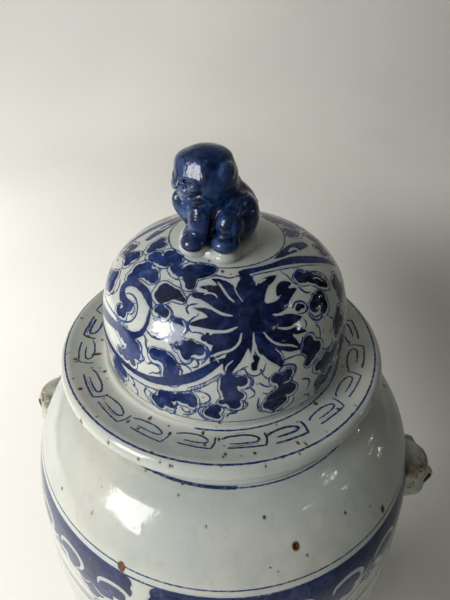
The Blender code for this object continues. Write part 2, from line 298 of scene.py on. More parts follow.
# ---------------------------------------------------------------- lotus, centred on (12.5, 70)
LOTUS_PETALS = [
    [(10, 66, 3.0), (5, 58.5, 3.4), (1, 52, 3.0), (-4, 48, 1.7), (-9, 46.2, 0.4)],
    [(8, 66, 3.0), (2, 61, 3.6), (-4, 56, 3.6), (-9, 52.5, 2.0), (-15.5, 52.8, 0.4)],
    [(6, 67, 3.0), (0, 64, 3.0), (-7, 61, 2.6), (-13, 59, 2.3), (-19, 58.8, 0.5)],
    [(6, 70, 3.0), (0, 71, 2.8), (-5, 69.3, 2.3), (-9, 67, 1.3), (-15, 66.3, 0.4)],
    [(6, 72, 3.0), (0, 73.6, 2.6), (-6, 73.8, 2.8), (-11, 74.6, 2.0), (-15.5, 75.6, 0.4)],
    [(8, 77, 3.0), (3, 82, 3.6), (-1, 86, 3.4), (-4, 91, 1.7), (-5, 94.5, 0.4)],
    [(6, 77, 2.4), (1, 80.4, 3.0), (-3.5, 82, 2.6), (-6, 83, 1.5)],
    [(10, 79, 2.4), (7, 86, 3.0), (4, 92, 3.6), (2, 98, 2.6), (2.4, 102.5, 0.6)],
    [(12, 79, 2.8), (12.4, 86, 3.0), (13, 92, 2.0), (12.8, 97, 0.6)],
    [(14, 80, 2.4), (17, 87, 3.6), (20, 93, 3.6), (22.5, 98, 2.4), (23.2, 102, 0.6)],
    [(17, 79, 3.4), (22.6, 85, 4.0), (27.4, 89.6, 3.8), (32, 94.5, 1.0)],
    [(18, 76, 3.0), (25, 80, 2.5), (31, 83.2, 2.2), (36.5, 86.5, 0.5)],
    [(19, 73, 2.8), (26, 75.5, 2.6), (32, 77, 2.3), (36.5, 78, 0.5)],
    [(19, 68, 3.0), (26, 68, 2.8), (31, 66.5, 2.8), (36, 62.6, 2.2), (42, 62, 0.7)],
    [(30, 61, 0.8), (34, 58, 2.2), (38, 56.8, 2.0), (41.5, 57.6, 0.6)],
    [(17, 60, 4.0), (21, 54.5, 3.4), (26, 51.6, 2.4), (31, 50.5, 1.8), (36.5, 49.4, 0.4)],
    [(13, 64, 5.0), (13, 57, 5.6), (14, 51, 4.2), (16, 46.5, 2.4)],
]
LOTUS_SPARED = [
    ([(-5, 48.3), (-2.5, 51), (0, 55), (2.5, 58.5), (4.7, 60.8)], 0.70),
    ([(-19.5, 62.3), (-15, 61.2), (-10, 62.8), (-5, 65.9), (-1, 68), (3.5, 69)], 0.85),
    ([(-15.5, 76.9), (-10, 77.3), (-4, 77.9), (1, 77.5), (5.5, 75.4)], 0.85),
    ([(-5, 91.5), (-1, 89.2), (3, 87.5), (6, 84), (7.3, 79)], 0.75),
    ([(4, 102), (5, 99), (9, 97), (11, 92), (12, 86), (12.5, 79.5)], 0.75),
    ([(12.5, 84), (13.2, 90), (15.5, 94.5), (18.5, 98), (19.5, 102)], 0.70),
    ([(17, 80), (19.5, 85), (23, 88.5), (28, 91), (31, 93.5)], 0.65),
    ([(24, 79.3), (28, 81), (33, 81), (37.5, 80)], 0.75),
    ([(23, 71.4), (27, 72.5), (31.5, 71.8)], 0.70),
    ([(31.5, 71), (35, 67), (39, 65.2), (42, 65.3)], 0.55),
    ([(22.3, 63.5), (26, 62), (29, 58.5), (32, 54.5), (36, 52.2), (40, 51.6), (42.5, 53.4)], 0.70),
    ([(20, 51.8), (22, 49), (26, 47.6), (31, 47.2), (36, 47.6)], 0.65),
    ([(23, 50.8), (25, 49.8), (28, 49.4)], 0.75),
    ([(-12, 57.2), (-9.5, 55.8), (-6, 56.4), (-4.5, 58.2)], 0.50),
    ([(-14, 51.6), (-10.5, 50.2), (-6.5, 50.6)], 0.40),
    ([(0.8, 100.4), (1.2, 97), (3.6, 93.8)], 0.45),
    ([(-3.2, 92), (-1.8, 95.2)], 0.30),
    ([(30, 85), (32, 88), (32.6, 91)], 0.45),
    ([(21, 90.4), (23.4, 94.4), (24, 98.6)], 0.35),
    ([(9.5, 61), (7, 56), (5.5, 51)], 0.30),
]
LOTUS_LINES = [
    ([(-19.8, 64.6), (-20.2, 61), (-18.6, 57.6), (-15.6, 56.2)], 0.40),
    ([(-17, 70.3), (-19, 67.3), (-17.4, 64.9), (-13.6, 63.4)], 0.42),
    ([(-13.9, 79.7), (-16.2, 77), (-15.2, 73), (-12.4, 70)], 0.42),
    ([(-14, 79.8), (-10, 79.4), (-7.4, 81)], 0.36),
    ([(-7, 86), (-5.6, 89.5), (-6.3, 93.4)], 0.38),
    ([(-11, 44.8), (-7, 43.7), (-2, 44), (3, 45), (8, 43.9)], 0.40),
    ([(7, 44.6), (9.5, 43.4), (11, 45.3), (11.6, 48.6)], 0.45),
    ([(8, 98.4), (9, 102), (12, 104.6), (15.2, 102.8), (16.6, 97.6)], 0.42),
    ([(9.4, 97.8), (6.8, 99.4), (4.6, 101.6), (4.1, 104)], 0.42),
    ([(34, 71.2), (37, 69), (41, 70.4), (42.2, 74), (39.5, 76.6), (35.4, 75.6)], 0.45),
    ([(37.5, 79.5), (38.2, 82.6), (36.8, 85)], 0.36),
    ([(23, 99), (26.5, 98.4), (31, 98.6), (34, 101), (34.6, 104)], 0.40),
    ([(31.4, 94.6), (33.2, 92.2), (34.4, 88.6)], 0.36),
    ([(42.4, 49), (44, 53), (43.6, 57), (44.6, 61)], 0.38),
]
LOTUS_LEAVES = [
    [(12.5, 70, 9.0), (9, 75, 4.0), (17, 75, 4.4), (17, 65, 5.0), (8, 66, 4.0)],
    [(12, 97.4, 2.0), (12, 99.6, 1.7)],
    [(38, 72, 1.9), (36.4, 73, 1.5), (40, 73, 1.3)],
    [(-8.4, 82, 1.7), (-7, 79.8, 1.2)],
    [(11.4, 43.8, 1.0), (14.6, 43.2, 2.4), (16.5, 46.6, 2.8)],
]

# ---------------------------------------------------------------- scroll and leaves round the lotus
SCROLL_SWEEPS = [
    [(-35.5, 74.2, 0.5), (-38, 72.2, 1.7), (-41, 69.6, 2.4), (-46, 67.6, 2.4), (-51, 67.4, 2.3), (-55, 68.4, 2.4),
     (-58.2, 71, 2.5), (-59.6, 74.6, 2.6), (-57.6, 78.2, 2.8), (-53, 80.4, 3.0), (-48.5, 80.6, 3.4)],
    [(-36.4, 75, 0.8), (-35.3, 80, 1.4), (-35.2, 85, 1.5), (-36.8, 90, 1.8), (-40.5, 93.8, 2.2), (-46, 96, 2.4),
     (-52, 97.4, 2.8), (-60, 99.4, 3.2), (-69, 102, 3.6), (-80, 106, 3.8)],
    [(-72, 112, 2.4), (-64, 115, 2.6), (-56, 117, 2.4), (-48, 118, 2.1), (-40, 118.2, 2.0), (-33, 117.4, 2.2),
     (-27, 115.8, 2.7), (-21.5, 113, 3.2), (-16, 109.4, 3.2), (-11, 105.2, 3.2), (-7, 100.8, 2.9),
     (-3.6, 96.6, 2.3), (0.4, 92.8, 1.0)],
    [(12, 41.5, 1.4), (17, 41.4, 2.2), (25, 41.4, 1.8), (33, 41.7, 1.7), (41, 42.4, 1.8), (50, 43.8, 2.3),
     (58, 46.2, 2.9), (65, 50, 3.2), (71, 55, 3.2), (77, 61, 3.0), (82, 68, 2.6), (86, 76, 1.6)],
    [(49, 38.9, 0.6), (56, 39.4, 1.7), (64, 40.4, 2.6), (73, 42.6, 3.4), (81, 46, 3.6), (88, 51, 2.6)],
]
SCROLL_LINES = [
    ([(-54.6, 76.2), (-52, 74.4), (-48, 74.3), (-44.6, 76.4), (-42.6, 80), (-42.6, 84.4), (-44.8, 88.2),
      (-49, 90.8), (-55, 91.8), (-62, 92.4), (-70, 93.8), (-79, 96.4)], 0.50),
    ([(-47.6, 77.2), (-44.8, 79.6), (-44.8, 83), (-47.4, 84.6)], 0.35),
    ([(-14, 114.4), (-9, 110.4), (-5, 106.2), (-1.2, 101.4)], 0.30),
    ([(-66, 118.6), (-58, 121.6), (-50, 123.4), (-42, 124.6), (-33, 124.4), (-24, 122), (-15.6, 117.8),
      (-9, 113), (-4, 107.6), (-0.4, 103)], 0.42),
    ([(19, 47.6), (20.6, 45), (27, 44.8), (35, 45.6), (43, 47), (50, 49), (57, 51.8), (64, 55.6), (70, 60.4),
      (75, 66)], 0.32),
    ([(-30, 69), (-26.6, 69.9), (-24.2, 72.8), (-23.6, 76.6)], 0.42),
    ([(-31.4, 75.2), (-29.8, 76.8), (-30.8, 78.8), (-33.4, 78.8)], 0.50),
    ([(-22.9, 77.2), (-21.4, 74.7), (-18.6, 74.1), (-16.3, 76), (-15.7, 79), (-17, 81.4), (-19.6, 81.7)], 0.45),
    ([(-34, 86.6), (-31, 88.6), (-27, 88.2), (-24.4, 86), (-22.4, 84.4)], 0.45),
    ([(-31.6, 85.8), (-29.2, 86.2), (-28, 84.6)], 0.40),
    ([(-22.4, 85.4), (-21.4, 88.6), (-18.4, 91.2)], 0.42),
    ([(-8, 86.8), (-6.8, 90), (-7, 94), (-8.6, 96.8)], 0.42),
    ([(-36, 90.6), (-34.4, 90), (-33.6, 92.6), (-32.8, 96), (-31, 99.4)], 0.50),
    ([(-24.6, 94.6), (-22, 93.8), (-19.8, 95.6), (-18.8, 98.6)], 0.45),
    ([(-14.4, 95), (-11.6, 94), (-9.8, 95.9), (-10, 98.6), (-12.2, 99.9)], 0.50),
    ([(-19.4, 99.4), (-16, 99), (-13.4, 100.2), (-12, 102.8)], 0.42),
    ([(-16.6, 105.4), (-15.6, 103.4), (-17.6, 102.2)], 0.38),
    ([(-38, 95), (-35.6, 96.5), (-34.8, 99.6), (-36, 102)], 0.42),
    ([(-35, 102.6), (-33.2, 104), (-33.8, 106.6), (-36.6, 107.6), (-39, 106.4)], 0.42),
    ([(-31.6, 107), (-29.4, 105), (-26.6, 105.2), (-25.2, 107.6), (-26.6, 110.4), (-29, 111.4), (-30.6, 113.6)],
     0.50),
    ([(-42, 125.4), (-39.6, 127), (-39.2, 130), (-40.6, 133)], 0.45),
    ([(-41, 131), (-38.6, 133), (-38.2, 137), (-39.6, 140.4)], 0.45),
    ([(-32, 126), (-33.6, 130), (-32.6, 135), (-30, 139), (-27.6, 139.4)], 0.45),
    ([(-31.6, 127.4), (-28.6, 128.2), (-27.6, 125.6)], 0.42),
    ([(-18.4, 126), (-18.2, 130), (-19.6, 133.4), (-19.2, 137), (-21.4, 141), (-24.4, 138.8)], 0.45),
    ([(-16.6, 130.8), (-15.4, 134), (-13.4, 134), (-12.8, 131)], 0.40),
    ([(-16, 137.6), (-12.6, 136), (-10.6, 131.6), (-10.6, 128)], 0.45),
    ([(-10.6, 116), (-7.6, 115.6), (-5.2, 117.8), (-5, 121.2), (-7, 124), (-9.6, 125.4)], 0.45),
    ([(-5.4, 126), (-8.4, 127.6), (-9.6, 131), (-8.8, 135.2), (-6.4, 138.6), (-4.4, 138.8)], 0.45),
    ([(9, 104.6), (11, 106), (11.6, 109), (10.6, 112), (8, 113.6)], 0.42),
    ([(10.2, 112.6), (12, 115.2), (12, 118.6), (10, 120.6)], 0.42),
    ([(7, 121), (9, 123), (9.6, 126), (7.6, 129), (4, 128.8), (2, 126.6)], 0.42),
    ([(1.8, 135.2), (2.4, 132.2), (5, 131.8), (5.8, 129.8)], 0.50),
    ([(14, 121), (13.6, 127), (14.4, 132), (16.6, 134.8)], 0.45),
    ([(20, 134.6), (23, 137.4), (27.4, 136.6), (29.6, 132.6), (29.4, 127)], 0.48),
    ([(14, 110), (16.6, 113.4), (19.6, 114.6)], 0.42),
    ([(15.4, 117.8), (18, 119.4), (19.6, 116.6)], 0.42),
    ([(22, 104.4), (24, 102.2), (28, 103), (30, 106.4), (29.8, 110)], 0.52),
    ([(14.4, 100.6), (15.4, 105), (17.8, 109)], 0.42),
    ([(41, 78), (42, 82), (45, 84.8), (48, 84.2), (49.4, 81.8)], 0.50),
    ([(60, 59.8), (64.4, 62), (67.2, 67), (66.6, 72.4)], 0.48),
    ([(50, 54.6), (54, 53.8), (58.4, 55.8)], 0.80),
    ([(43, 86), (44.6, 90), (44, 96)], 0.42),
    ([(44.4, 62), (46, 66.8), (49.2, 68.6)], 0.55),
    ([(45, 104), (48, 106.4), (51.6, 105.6), (52.4, 102.6)], 0.48),
    ([(53, 88), (55.4, 92), (53.8, 96.2), (50.6, 97.4)], 0.45),
    ([(33, 117), (36.4, 119.6), (37.4, 124), (36, 128.4)], 0.48),
    ([(34.6, 132), (38, 134.4), (38.6, 138.4)], 0.45),
    ([(-66, 74.6), (-63.6, 76.6), (-62.6, 80), (-64, 84), (-67, 86.4)], 0.45),
    ([(-73, 57.4), (-70.2, 59.6), (-70, 63), (-72, 66)], 0.42),
]
SCROLL_SPARED = [
    ([(-66, 41.2), (-62.6, 44), (-59, 44.4)], 0.65),
    ([(-48, 101.6), (-46, 104), (-47.4, 107.4), (-51, 108)], 0.80),
    ([(68, 42), (74, 43), (76.4, 46), (73.4, 48.6)], 1.00),
    ([(6, 113.6), (8.2, 112.8), (9.8, 110), (9.4, 107)], 0.48),
    ([(-55, 82.2), (-52.6, 83.6), (-53.4, 85.2)], 0.60),
    ([(-17.6, 126.4), (-15.4, 127.8), (-13.6, 127.2)], 0.50),
    ([(24, 114.4), (27.6, 114), (29.4, 111)], 0.50),
    ([(58, 63.6), (61, 65.4), (62, 69)], 0.50),
]
LEFT, BELOW, RIGHT, LOW_LEFT = (-0.9, 0.1), (0.1, 0.9), (0.9, 0.2), (-0.7, 0.6)
# the leaf wash tones (the number after the lobes) run light on the flower's left and dark on its right: partly the
# painter's load, partly painted shade for the side away from the window
SCROLL_LEAVES = [
    ([(-58, 41, 2.0), (-54, 40.5, 2.6), (-49, 40.3, 3.0), (-45, 41.2, 2.6), (-42.4, 41.8, 1.5)], 0.35, LEFT),
    ([(-63, 48.5, 3.2), (-58, 47.2, 2.9), (-53, 47, 2.4), (-49, 46.6, 1.8), (-66, 50.3, 1.5)], 0.35, LOW_LEFT),
    ([(-59, 57.7, 3.4), (-62, 61.3, 2.8), (-55, 59.3, 3.0), (-50, 57.8, 3.3), (-46, 59, 2.2), (-58, 64, 3.0),
      (-61, 68, 1.9)], 0.35, LEFT),
    ([(-41, 46, 1.7), (-37, 46.8, 2.2), (-33, 47.4, 2.0)], 0.40, BELOW),
    ([(-28, 43.6, 3.2), (-24, 43, 3.9), (-19, 42, 3.9), (-14, 40.8, 2.9), (-11, 39.3, 1.6), (-24, 49, 2.9),
      (-22, 53, 2.2), (-26, 47, 3.0)], 0.75, LEFT),
    ([(-35.5, 61, 2.9), (-32, 60.8, 2.3), (-28, 61.4, 2.5), (-24.5, 62.3, 1.5), (-22, 63.2, 0.8), (-36, 65, 2.4),
      (-33.4, 66.6, 2.2), (-31, 64.6, 2.1)], 0.80, LEFT),
    ([(-53.4, 87, 2.6), (-50, 86.2, 2.0)], 0.50, None),
    ([(-31, 72.6, 1.9), (-28.4, 73.6, 1.9), (-33, 73.8, 0.9)], 0.60, None),
    ([(-21, 76.6, 2.0), (-19.6, 78.6, 2.0)], 0.55, None),
    ([(-20, 84.6, 2.3), (-18, 87.3, 2.5), (-13.5, 88.2, 3.1), (-9.8, 88.6, 2.3), (-15, 91.6, 2.3),
      (-14.8, 93.8, 1.3)], 0.60, None),
    ([(-28.4, 98.2, 2.8), (-25, 97.8, 3.0), (-22, 100, 3.2), (-20.5, 104, 3.8), (-20.6, 109, 3.8)], 0.45, None),
    ([(-51, 96.6, 2.6), (-46.5, 98, 3.9), (-42, 98.5, 3.7), (-38.6, 100.4, 2.9), (-38, 104.3, 3.0),
      (-41.4, 106.4, 3.1), (-44, 110.4, 2.7), (-48, 111, 2.0), (-39.4, 112, 1.8)], 0.30, None),
    ([(-50, 125, 4.0), (-52, 130, 4.4), (-50, 135, 3.8), (-54, 137.6, 3.4), (-46.4, 127.4, 2.8)], 0.35, None),
    ([(-24, 125.4, 2.6), (-20.5, 124.4, 2.8), (-16, 123, 3.2), (-12.6, 121.8, 3.0), (-12, 125.5, 2.4),
      (-24, 130, 3.5), (-27.5, 132, 2.7), (-26.5, 136, 2.3), (-21.5, 132, 2.1)], 0.50, None),
    ([(-3, 128, 2.7), (-4.5, 131.8, 2.9), (-2.5, 134.6, 1.9)], 0.60, None),
    ([(2, 106.4, 3.4), (2, 111, 3.6), (3, 116, 3.6), (3.6, 120.4, 3.2), (4.6, 124.4, 2.5), (7, 107.2, 2.6),
      (-0.4, 122, 1.3), (6, 117.6, 2.2)], 0.55, None),
    ([(20, 123.6, 3.1), (18.6, 128, 3.0), (21, 131, 2.9), (23.5, 128, 3.0), (23, 121.4, 3.2), (25, 117.2, 3.3),
      (27.6, 120.8, 2.9), (24, 112.4, 2.9), (21, 109.2, 2.4)], 0.80, None),
    ([(26, 108.6, 2.3), (25, 111, 1.8)], 0.80, None),
    ([(37, 93.6, 2.8), (35.2, 97, 2.2), (38, 98.5, 3.5), (41, 100, 3.0), (38, 103, 2.9), (36, 106.6, 1.9)],
     0.85, RIGHT),
    ([(50, 75, 3.1), (46.2, 76.5, 2.7), (52, 78.8, 3.1), (54, 74, 2.4), (50.6, 81.4, 1.7)], 0.90, None),
    ([(52, 58.4, 3.0), (57, 62, 3.2), (60, 67, 3.1), (49.2, 56.4, 1.4), (48.6, 59, 1.2), (62, 70.4, 2.2)],
     0.85, None),
    ([(47, 112.4, 3.2), (51, 115.6, 3.6), (46.6, 118.4, 3.2), (42.6, 114.4, 2.6), (54.4, 112, 2.6)], 0.85, LEFT),
    ([(44, 128.4, 3.4), (48.6, 131, 3.4), (44.6, 134.4, 2.6), (51.6, 127, 2.6)], 0.85, RIGHT),
    ([(59, 95, 3.2), (62.6, 99.4, 3.0), (57.4, 100.6, 2.8), (61.6, 91.4, 2.4)], 0.80, RIGHT),
    ([(61, 112, 3.0), (65, 116.6, 3.4), (60.6, 120.4, 3.0), (66.4, 110.6, 2.2)], 0.80, LEFT),
    ([(70, 78.4, 3.0), (73.6, 83, 3.2), (68.6, 85, 2.6), (74.6, 77, 2.0)], 0.70, RIGHT),
    ([(-72.6, 78, 3.0), (-70.4, 83.4, 3.4), (-74.6, 87, 2.8), (-76.6, 80.6, 2.6)], 0.35, RIGHT),
    ([(-76, 60.4, 3.0), (-79.4, 64.4, 2.8), (-74.4, 66, 2.2)], 0.35, RIGHT),
    ([(-74, 42.4, 2.4), (-78.4, 45.6, 3.0), (-74, 48.8, 2.4), (-82, 42, 2.2)], 0.35, BELOW),
    ([(-66, 128.6, 3.2), (-70, 132.8, 3.4), (-64.6, 135.4, 2.6), (-71.6, 127, 2.4)], 0.40, RIGHT),
    ([(60.6, 131.6, 3.0), (64.4, 134.8, 2.8), (58.4, 136.4, 2.2)], 0.60, LEFT),
]
SIDE_LEAVES = [  # the quarter between two flowers, centred on 90 degrees
    ([(92, 62, 3.2), (88, 65.6, 3.0), (95, 66.6, 3.0), (91.4, 70, 2.4)], 0.50, LEFT),
    ([(84.6, 87.6, 3.4), (88.4, 91.4, 3.4), (82.6, 93.4, 2.8), (89.4, 86, 2.4)], 0.50, BELOW),
    ([(98, 84, 3.0), (101, 88.4, 3.2), (96.4, 90, 2.6)], 0.50, RIGHT),
    ([(80, 106.4, 3.4), (84.4, 109.8, 3.2), (78.8, 112.6, 3.0), (86, 104.6, 2.4)], 0.55, LEFT),
    ([(97, 104, 3.4), (93.4, 108.4, 3.0), (99.6, 109.8, 3.2)], 0.55, BELOW),
    ([(78, 126, 3.2), (82.4, 129.8, 3.4), (76.6, 132.6, 2.8), (84, 124.8, 2.4)], 0.60, RIGHT),
    ([(95, 123.4, 3.2), (98.8, 127.8, 3.4), (93, 130, 2.8), (100.4, 122.4, 2.2)], 0.60, LEFT),
]
SIDE_LINES = [
    ([(87, 74), (90.6, 76.4), (94.6, 75.6), (96, 72.6)], 0.45),
    ([(90, 80.6), (93.4, 82.4), (93.4, 86.4), (90.6, 88.8)], 0.45),
    ([(72, 98), (76, 100.6), (81, 100), (84.4, 97)], 0.45),
    ([(90, 98.6), (94, 96.6), (98, 98), (99.4, 101)], 0.45),
    ([(86, 116), (89.4, 118.6), (89, 123), (85.4, 125)], 0.45),
    ([(88, 133), (91.4, 136.4), (95.6, 136.8)], 0.45),
    ([(70, 121), (73, 124.4), (72.4, 128.6)], 0.45),
    ([(99, 114.6), (102.4, 116.4), (104, 120)], 0.45),
]


LEAF_GROWTH, PETAL_GROWTH, LINE_GROWTH = (1.24, 0.45), (1.22, 0.1), (1.25, 0.04)  # times, plus millimetres


def grown(value, growth):
    return value * growth[0] + growth[1]


def lotus_scroll(brush):
    """One lotus with its scrolling stem and leaves, about 150 degrees of the dome."""
    for path in SCROLL_SWEEPS:
        brush.sweep(path, 0.45)
    for lobes, tone, outline in SCROLL_LEAVES:
        brush.leaf([(turn, height, grown(size, LEAF_GROWTH)) for turn, height, size in lobes], tone,
                   outline or BELOW)
    for path in LOTUS_PETALS:
        brush.sweep([(turn, height, grown(half, PETAL_GROWTH)) for turn, height, half in path], 0.75)
    for lobes in LOTUS_LEAVES:
        brush.leaf(lobes, 0.85)
    for path, half in LOTUS_LINES + SCROLL_LINES:
        brush.stroke(path, grown(half, LINE_GROWTH))
    for path, half in LOTUS_SPARED + SCROLL_SPARED:
        brush.stroke(path, half, layer="spare", ends=(0.5, 0.5))
    for lobes, tone, outline in SIDE_LEAVES:
        brush.leaf(lobes, tone, outline)
    for path, half in SIDE_LINES:
        brush.stroke(path, half)


def paint_dome(painting):
    lotus_scroll(Stamp(painting))
    lotus_scroll(Stamp(painting, turn=180.0))
    painting.ring(36.9, 0.48, 0.5, 1.2, depth=0.7)
    painting.ring(140.2, 0.42, 0.3, 0.4, depth=0.5)
    for turn, height, size in (
        (-2.4, 40.2, 1.0), (4.2, 42.2, 0.4), (-51.4, 65.7, 0.7), (-33.2, 92.2, 0.8), (-18.4, 101.4, 0.7),
        (-7.6, 119.4, 0.6), (-1.2, 141.6, 0.9), (11.6, 140, 0.5), (13.2, 110.6, 0.5), (-28.6, 50.8, 0.5),
        (-17.4, 55.6, 0.5), (-7.4, 52.6, 1.1), (-12.6, 69.8, 0.6), (-45.2, 91.6, 0.6), (-65, 83.6, 0.7),
        (47, 92.8, 0.5), (-14, 138.2, 0.7), (-17, 33, 0.6), (35.6, 142, 1.0),
    ):
        painting.iron(turn, height, size)


def paint_fret(painting):
    """The squared hooks round the brim, each a hook, a bar and a step, drawn quickly and never twice alike."""
    hand = np.random.default_rng(21)
    units = 21
    for unit in range(units):
        turn = -102.0 + unit * 360.0 / units + hand.normal(0.0, 0.5)
        near = math.exp(-(((turn + 10.0) / 24.0) ** 2))
        top = 8.6 - 3.0 * near + hand.normal(0.0, 0.4)
        foot = 19.0 - 3.2 * near + hand.normal(0.0, 0.4)
        middle = 0.5 * (top + foot) + hand.normal(0.0, 0.4)
        width = 13.2 + hand.normal(0.0, 0.6)
        heavy = math.exp(-(((turn - 9.0) / 9.0) ** 2))
        half = 0.58 + 0.22 * hand.random() ** 2 + 0.34 * heavy
        tone = 0.45 + 0.45 * hand.random() + 0.9 * heavy
        lean = hand.normal(0.0, 0.7)
        painting.stroke(
            [(turn + 0.2, top + 2.0), (turn + 2.6, top + 0.3), (turn + 0.62 * width, top - 0.2),
             (turn + 0.92 * width, top + 2.2), (turn + 0.96 * width, middle - 0.4),
             (turn + 0.80 * width, middle + 0.7), (turn + 0.30 * width + lean, middle + 0.3)],
            half, depth=tone, ends=(0.9, 0.6),
        )
        painting.stroke(
            [(turn + 0.16 * width, foot - 0.8), (turn + 0.55 * width, foot - 0.2 + 0.4 * lean),
             (turn + 1.05 * width, foot + 0.3)],
            half, depth=tone, ends=(0.9, 0.7),
        )
        painting.stroke(
            [(turn + 1.07 * width, foot + 0.4), (turn + 1.16 * width, middle), (turn + 1.17 * width, top + 1.0)],
            half * 0.95, depth=tone, ends=(0.8, 0.9),
        )


def paint_brim(painting):
    paint_fret(painting)
    painting.ring(28.2, 0.62, 0.9, 3.6, depth=0.7)
    painting.ring(1.8, 0.5, 0.3, 0.5, start=-10.0, end=84.0, depth=0.75)
    for turn, height, size, stretch in (
        (-76, 7.4, 0.9, 2.6), (-73.2, 21.8, 0.8, 1.3), (-57.4, 23.4, 0.9, 1.2), (-63, 25.4, 0.5, 1.0),
        (-49, 28, 0.4, 1.4), (-34.4, 14.6, 0.7, 1.6), (-29, 4.6, 0.7, 1.5), (-20.4, 4.6, 0.4, 1.2),
        (-18.4, 9.8, 0.7, 1.2), (-20, 27.8, 0.7, 1.0), (-16.6, 31.4, 0.4, 1.2), (-13, 31.8, 0.4, 1.2),
        (-85.6, 4.6, 0.7, 1.0), (2, 20.4, 0.5, 1.6), (1.4, 22.4, 0.5, 1.4), (11.2, 21.4, 0.7, 1.2),
        (7, 22.2, 0.3, 1.2), (18.8, 28.4, 0.5, 1.0), (24, 29.2, 0.4, 1.4), (27.4, 25.4, 0.4, 2.6),
        (36, 25, 0.3, 1.4), (31.4, 7.8, 0.4, 1.4), (44, 4.2, 0.9, 1.0), (51.6, 25, 0.3, 1.4),
        (0.8, 28.4, 0.5, 1.0), (-47, 36.4, 1.1, 1.4), (-34, 33.6, 0.5, 2.2), (59, 34, 0.5, 2.0),
        (120, 15, 0.7, 1.2), (150, 22, 0.6, 1.4), (188, 9, 0.5, 1.1), (222, 24, 0.8, 1.1), (246, 14, 0.5, 1.3),
    ):
        painting.iron(turn, height, 1.35 * size, stretch)
    hand = np.random.default_rng(77)
    for _ in range(74):
        painting.iron(hand.uniform(0, 360), hand.uniform(3, 44), 0.35 + 0.75 * hand.random() ** 3,
                      hand.uniform(0.8, 1.8))


LAPPETS, LAPPET_PITCH = 12, 30.0
FULL_REACH, OPEN_REACH = 15.8, 10.6  # degrees either side that a lappet's head covers


def ruyi_lappet(brush, centre, left, right):
    """One cloud-headed lappet of the collar: a dark head with reserved hooks, hanging from the band line."""
    c = centre
    for share, height, half in ((1.0, 74.0, 5.2), (0.98, 82.0, 6.4), (0.80, 91.0, 6.6), (0.46, 100.0, 6.4),
                                (0.17, 108.0, 5.8), (0.03, 114.6, 4.4)):
        brush.sweep([(c - left * share, height + 0.6, half), (c, height - 0.4, half),
                     (c + right * share, height + 0.6, half)], 0.6)
    for hook in (c - 8.0, c + 7.4):
        brush.stroke([(hook - 5.0, 94.4), (hook - 4.4, 88.4), (hook - 1.2, 84.4), (hook + 2.6, 85.2),
                      (hook + 4.6, 90.6), (hook + 4.0, 98.0), (hook + 1.8, 103.0)], 1.9, layer="spare",
                     ends=(0.3, 0.2))
    for side in (-1.0, 1.0):
        brush.stroke([(c + side * 6.6, 104.6), (c + side * 3.2, 108.4), (c + side * 0.4, 103.4)], 0.8,
                     layer="spare", ends=(0.4, 0.4))
        brush.stroke([(c + side * 14.0, 100), (c + side * 11.6, 109), (c + side * 6.6, 116), (c + side * 1.6, 121),
                      (c, 125.4)], 0.6, ends=(0.8, 0.8))


def paint_shoulder(painting):
    hand = np.random.default_rng(5)
    painting.ring(1.6, 1.2, 0.3, 0.2, start=-56.0, end=4.0, depth=0.9)
    painting.ring(1.9, 0.5, 0.3, 0.2, start=2.0, end=305.0, depth=0.6)
    painting.ring(62.6, 0.6, 0.9, 2.2, depth=0.65)
    painting.ring(68.6, 0.75, 0.5, 2.4, depth=0.7)
    for lappet in range(LAPPETS):
        left = OPEN_REACH if lappet == 1 else FULL_REACH    # the first two stand apart at the front lug
        right = OPEN_REACH if lappet == 0 else FULL_REACH
        ruyi_lappet(painting, -34.0 + LAPPET_PITCH * lappet + hand.normal(0.0, 0.4), left, right)
        gap = -18.6 + LAPPET_PITCH * lappet
        painting.leaf([(gap, 100, 2.8), (gap - 2.0, 105.4, 2.6), (gap + 2.0, 105.4, 2.6), (gap, 109, 2.0)],
                      0.5, BELOW)
        painting.stroke([(gap - 2.4, 91), (gap, 94.6), (gap + 2.4, 91)], 0.5)
    painting.ring(129.0, 0.55, 0.6, 0.3, depth=0.6)
    painting.ring(133.4, 1.0, 0.6, 0.9, depth=0.75)
    for turn, height, size, stretch in (
        (-25, 64.6, 2.7, 1.4), (19, 41.2, 2.3, 1.3), (48.2, 57, 1.9, 1.5), (11.8, 20.4, 0.95, 1.2),
        (-4.6, 24.4, 0.6, 1.3), (-14, 2.4, 0.9, 1.3), (-14.2, 9.8, 0.6, 1.2), (-28, 3.4, 0.8, 1.1),
        (-46.6, 3.8, 1.4, 1.0), (35.4, 37, 0.9, 1.3), (21.6, 49.2, 0.8, 1.2), (-37.4, 44.2, 0.6, 2.2),
        (-38.2, 26.8, 0.5, 1.2), (-51, 52, 1.0, 1.2), (44, 46.4, 0.6, 1.2), (88, 30, 1.6, 1.2),
        (120, 52, 1.2, 1.3), (155, 22, 0.9, 1.2), (190, 44, 2.0, 1.2), (236, 34, 1.0, 1.2), (262, 55, 1.5, 1.3),
    ):
        painting.iron(turn, height, size, stretch)


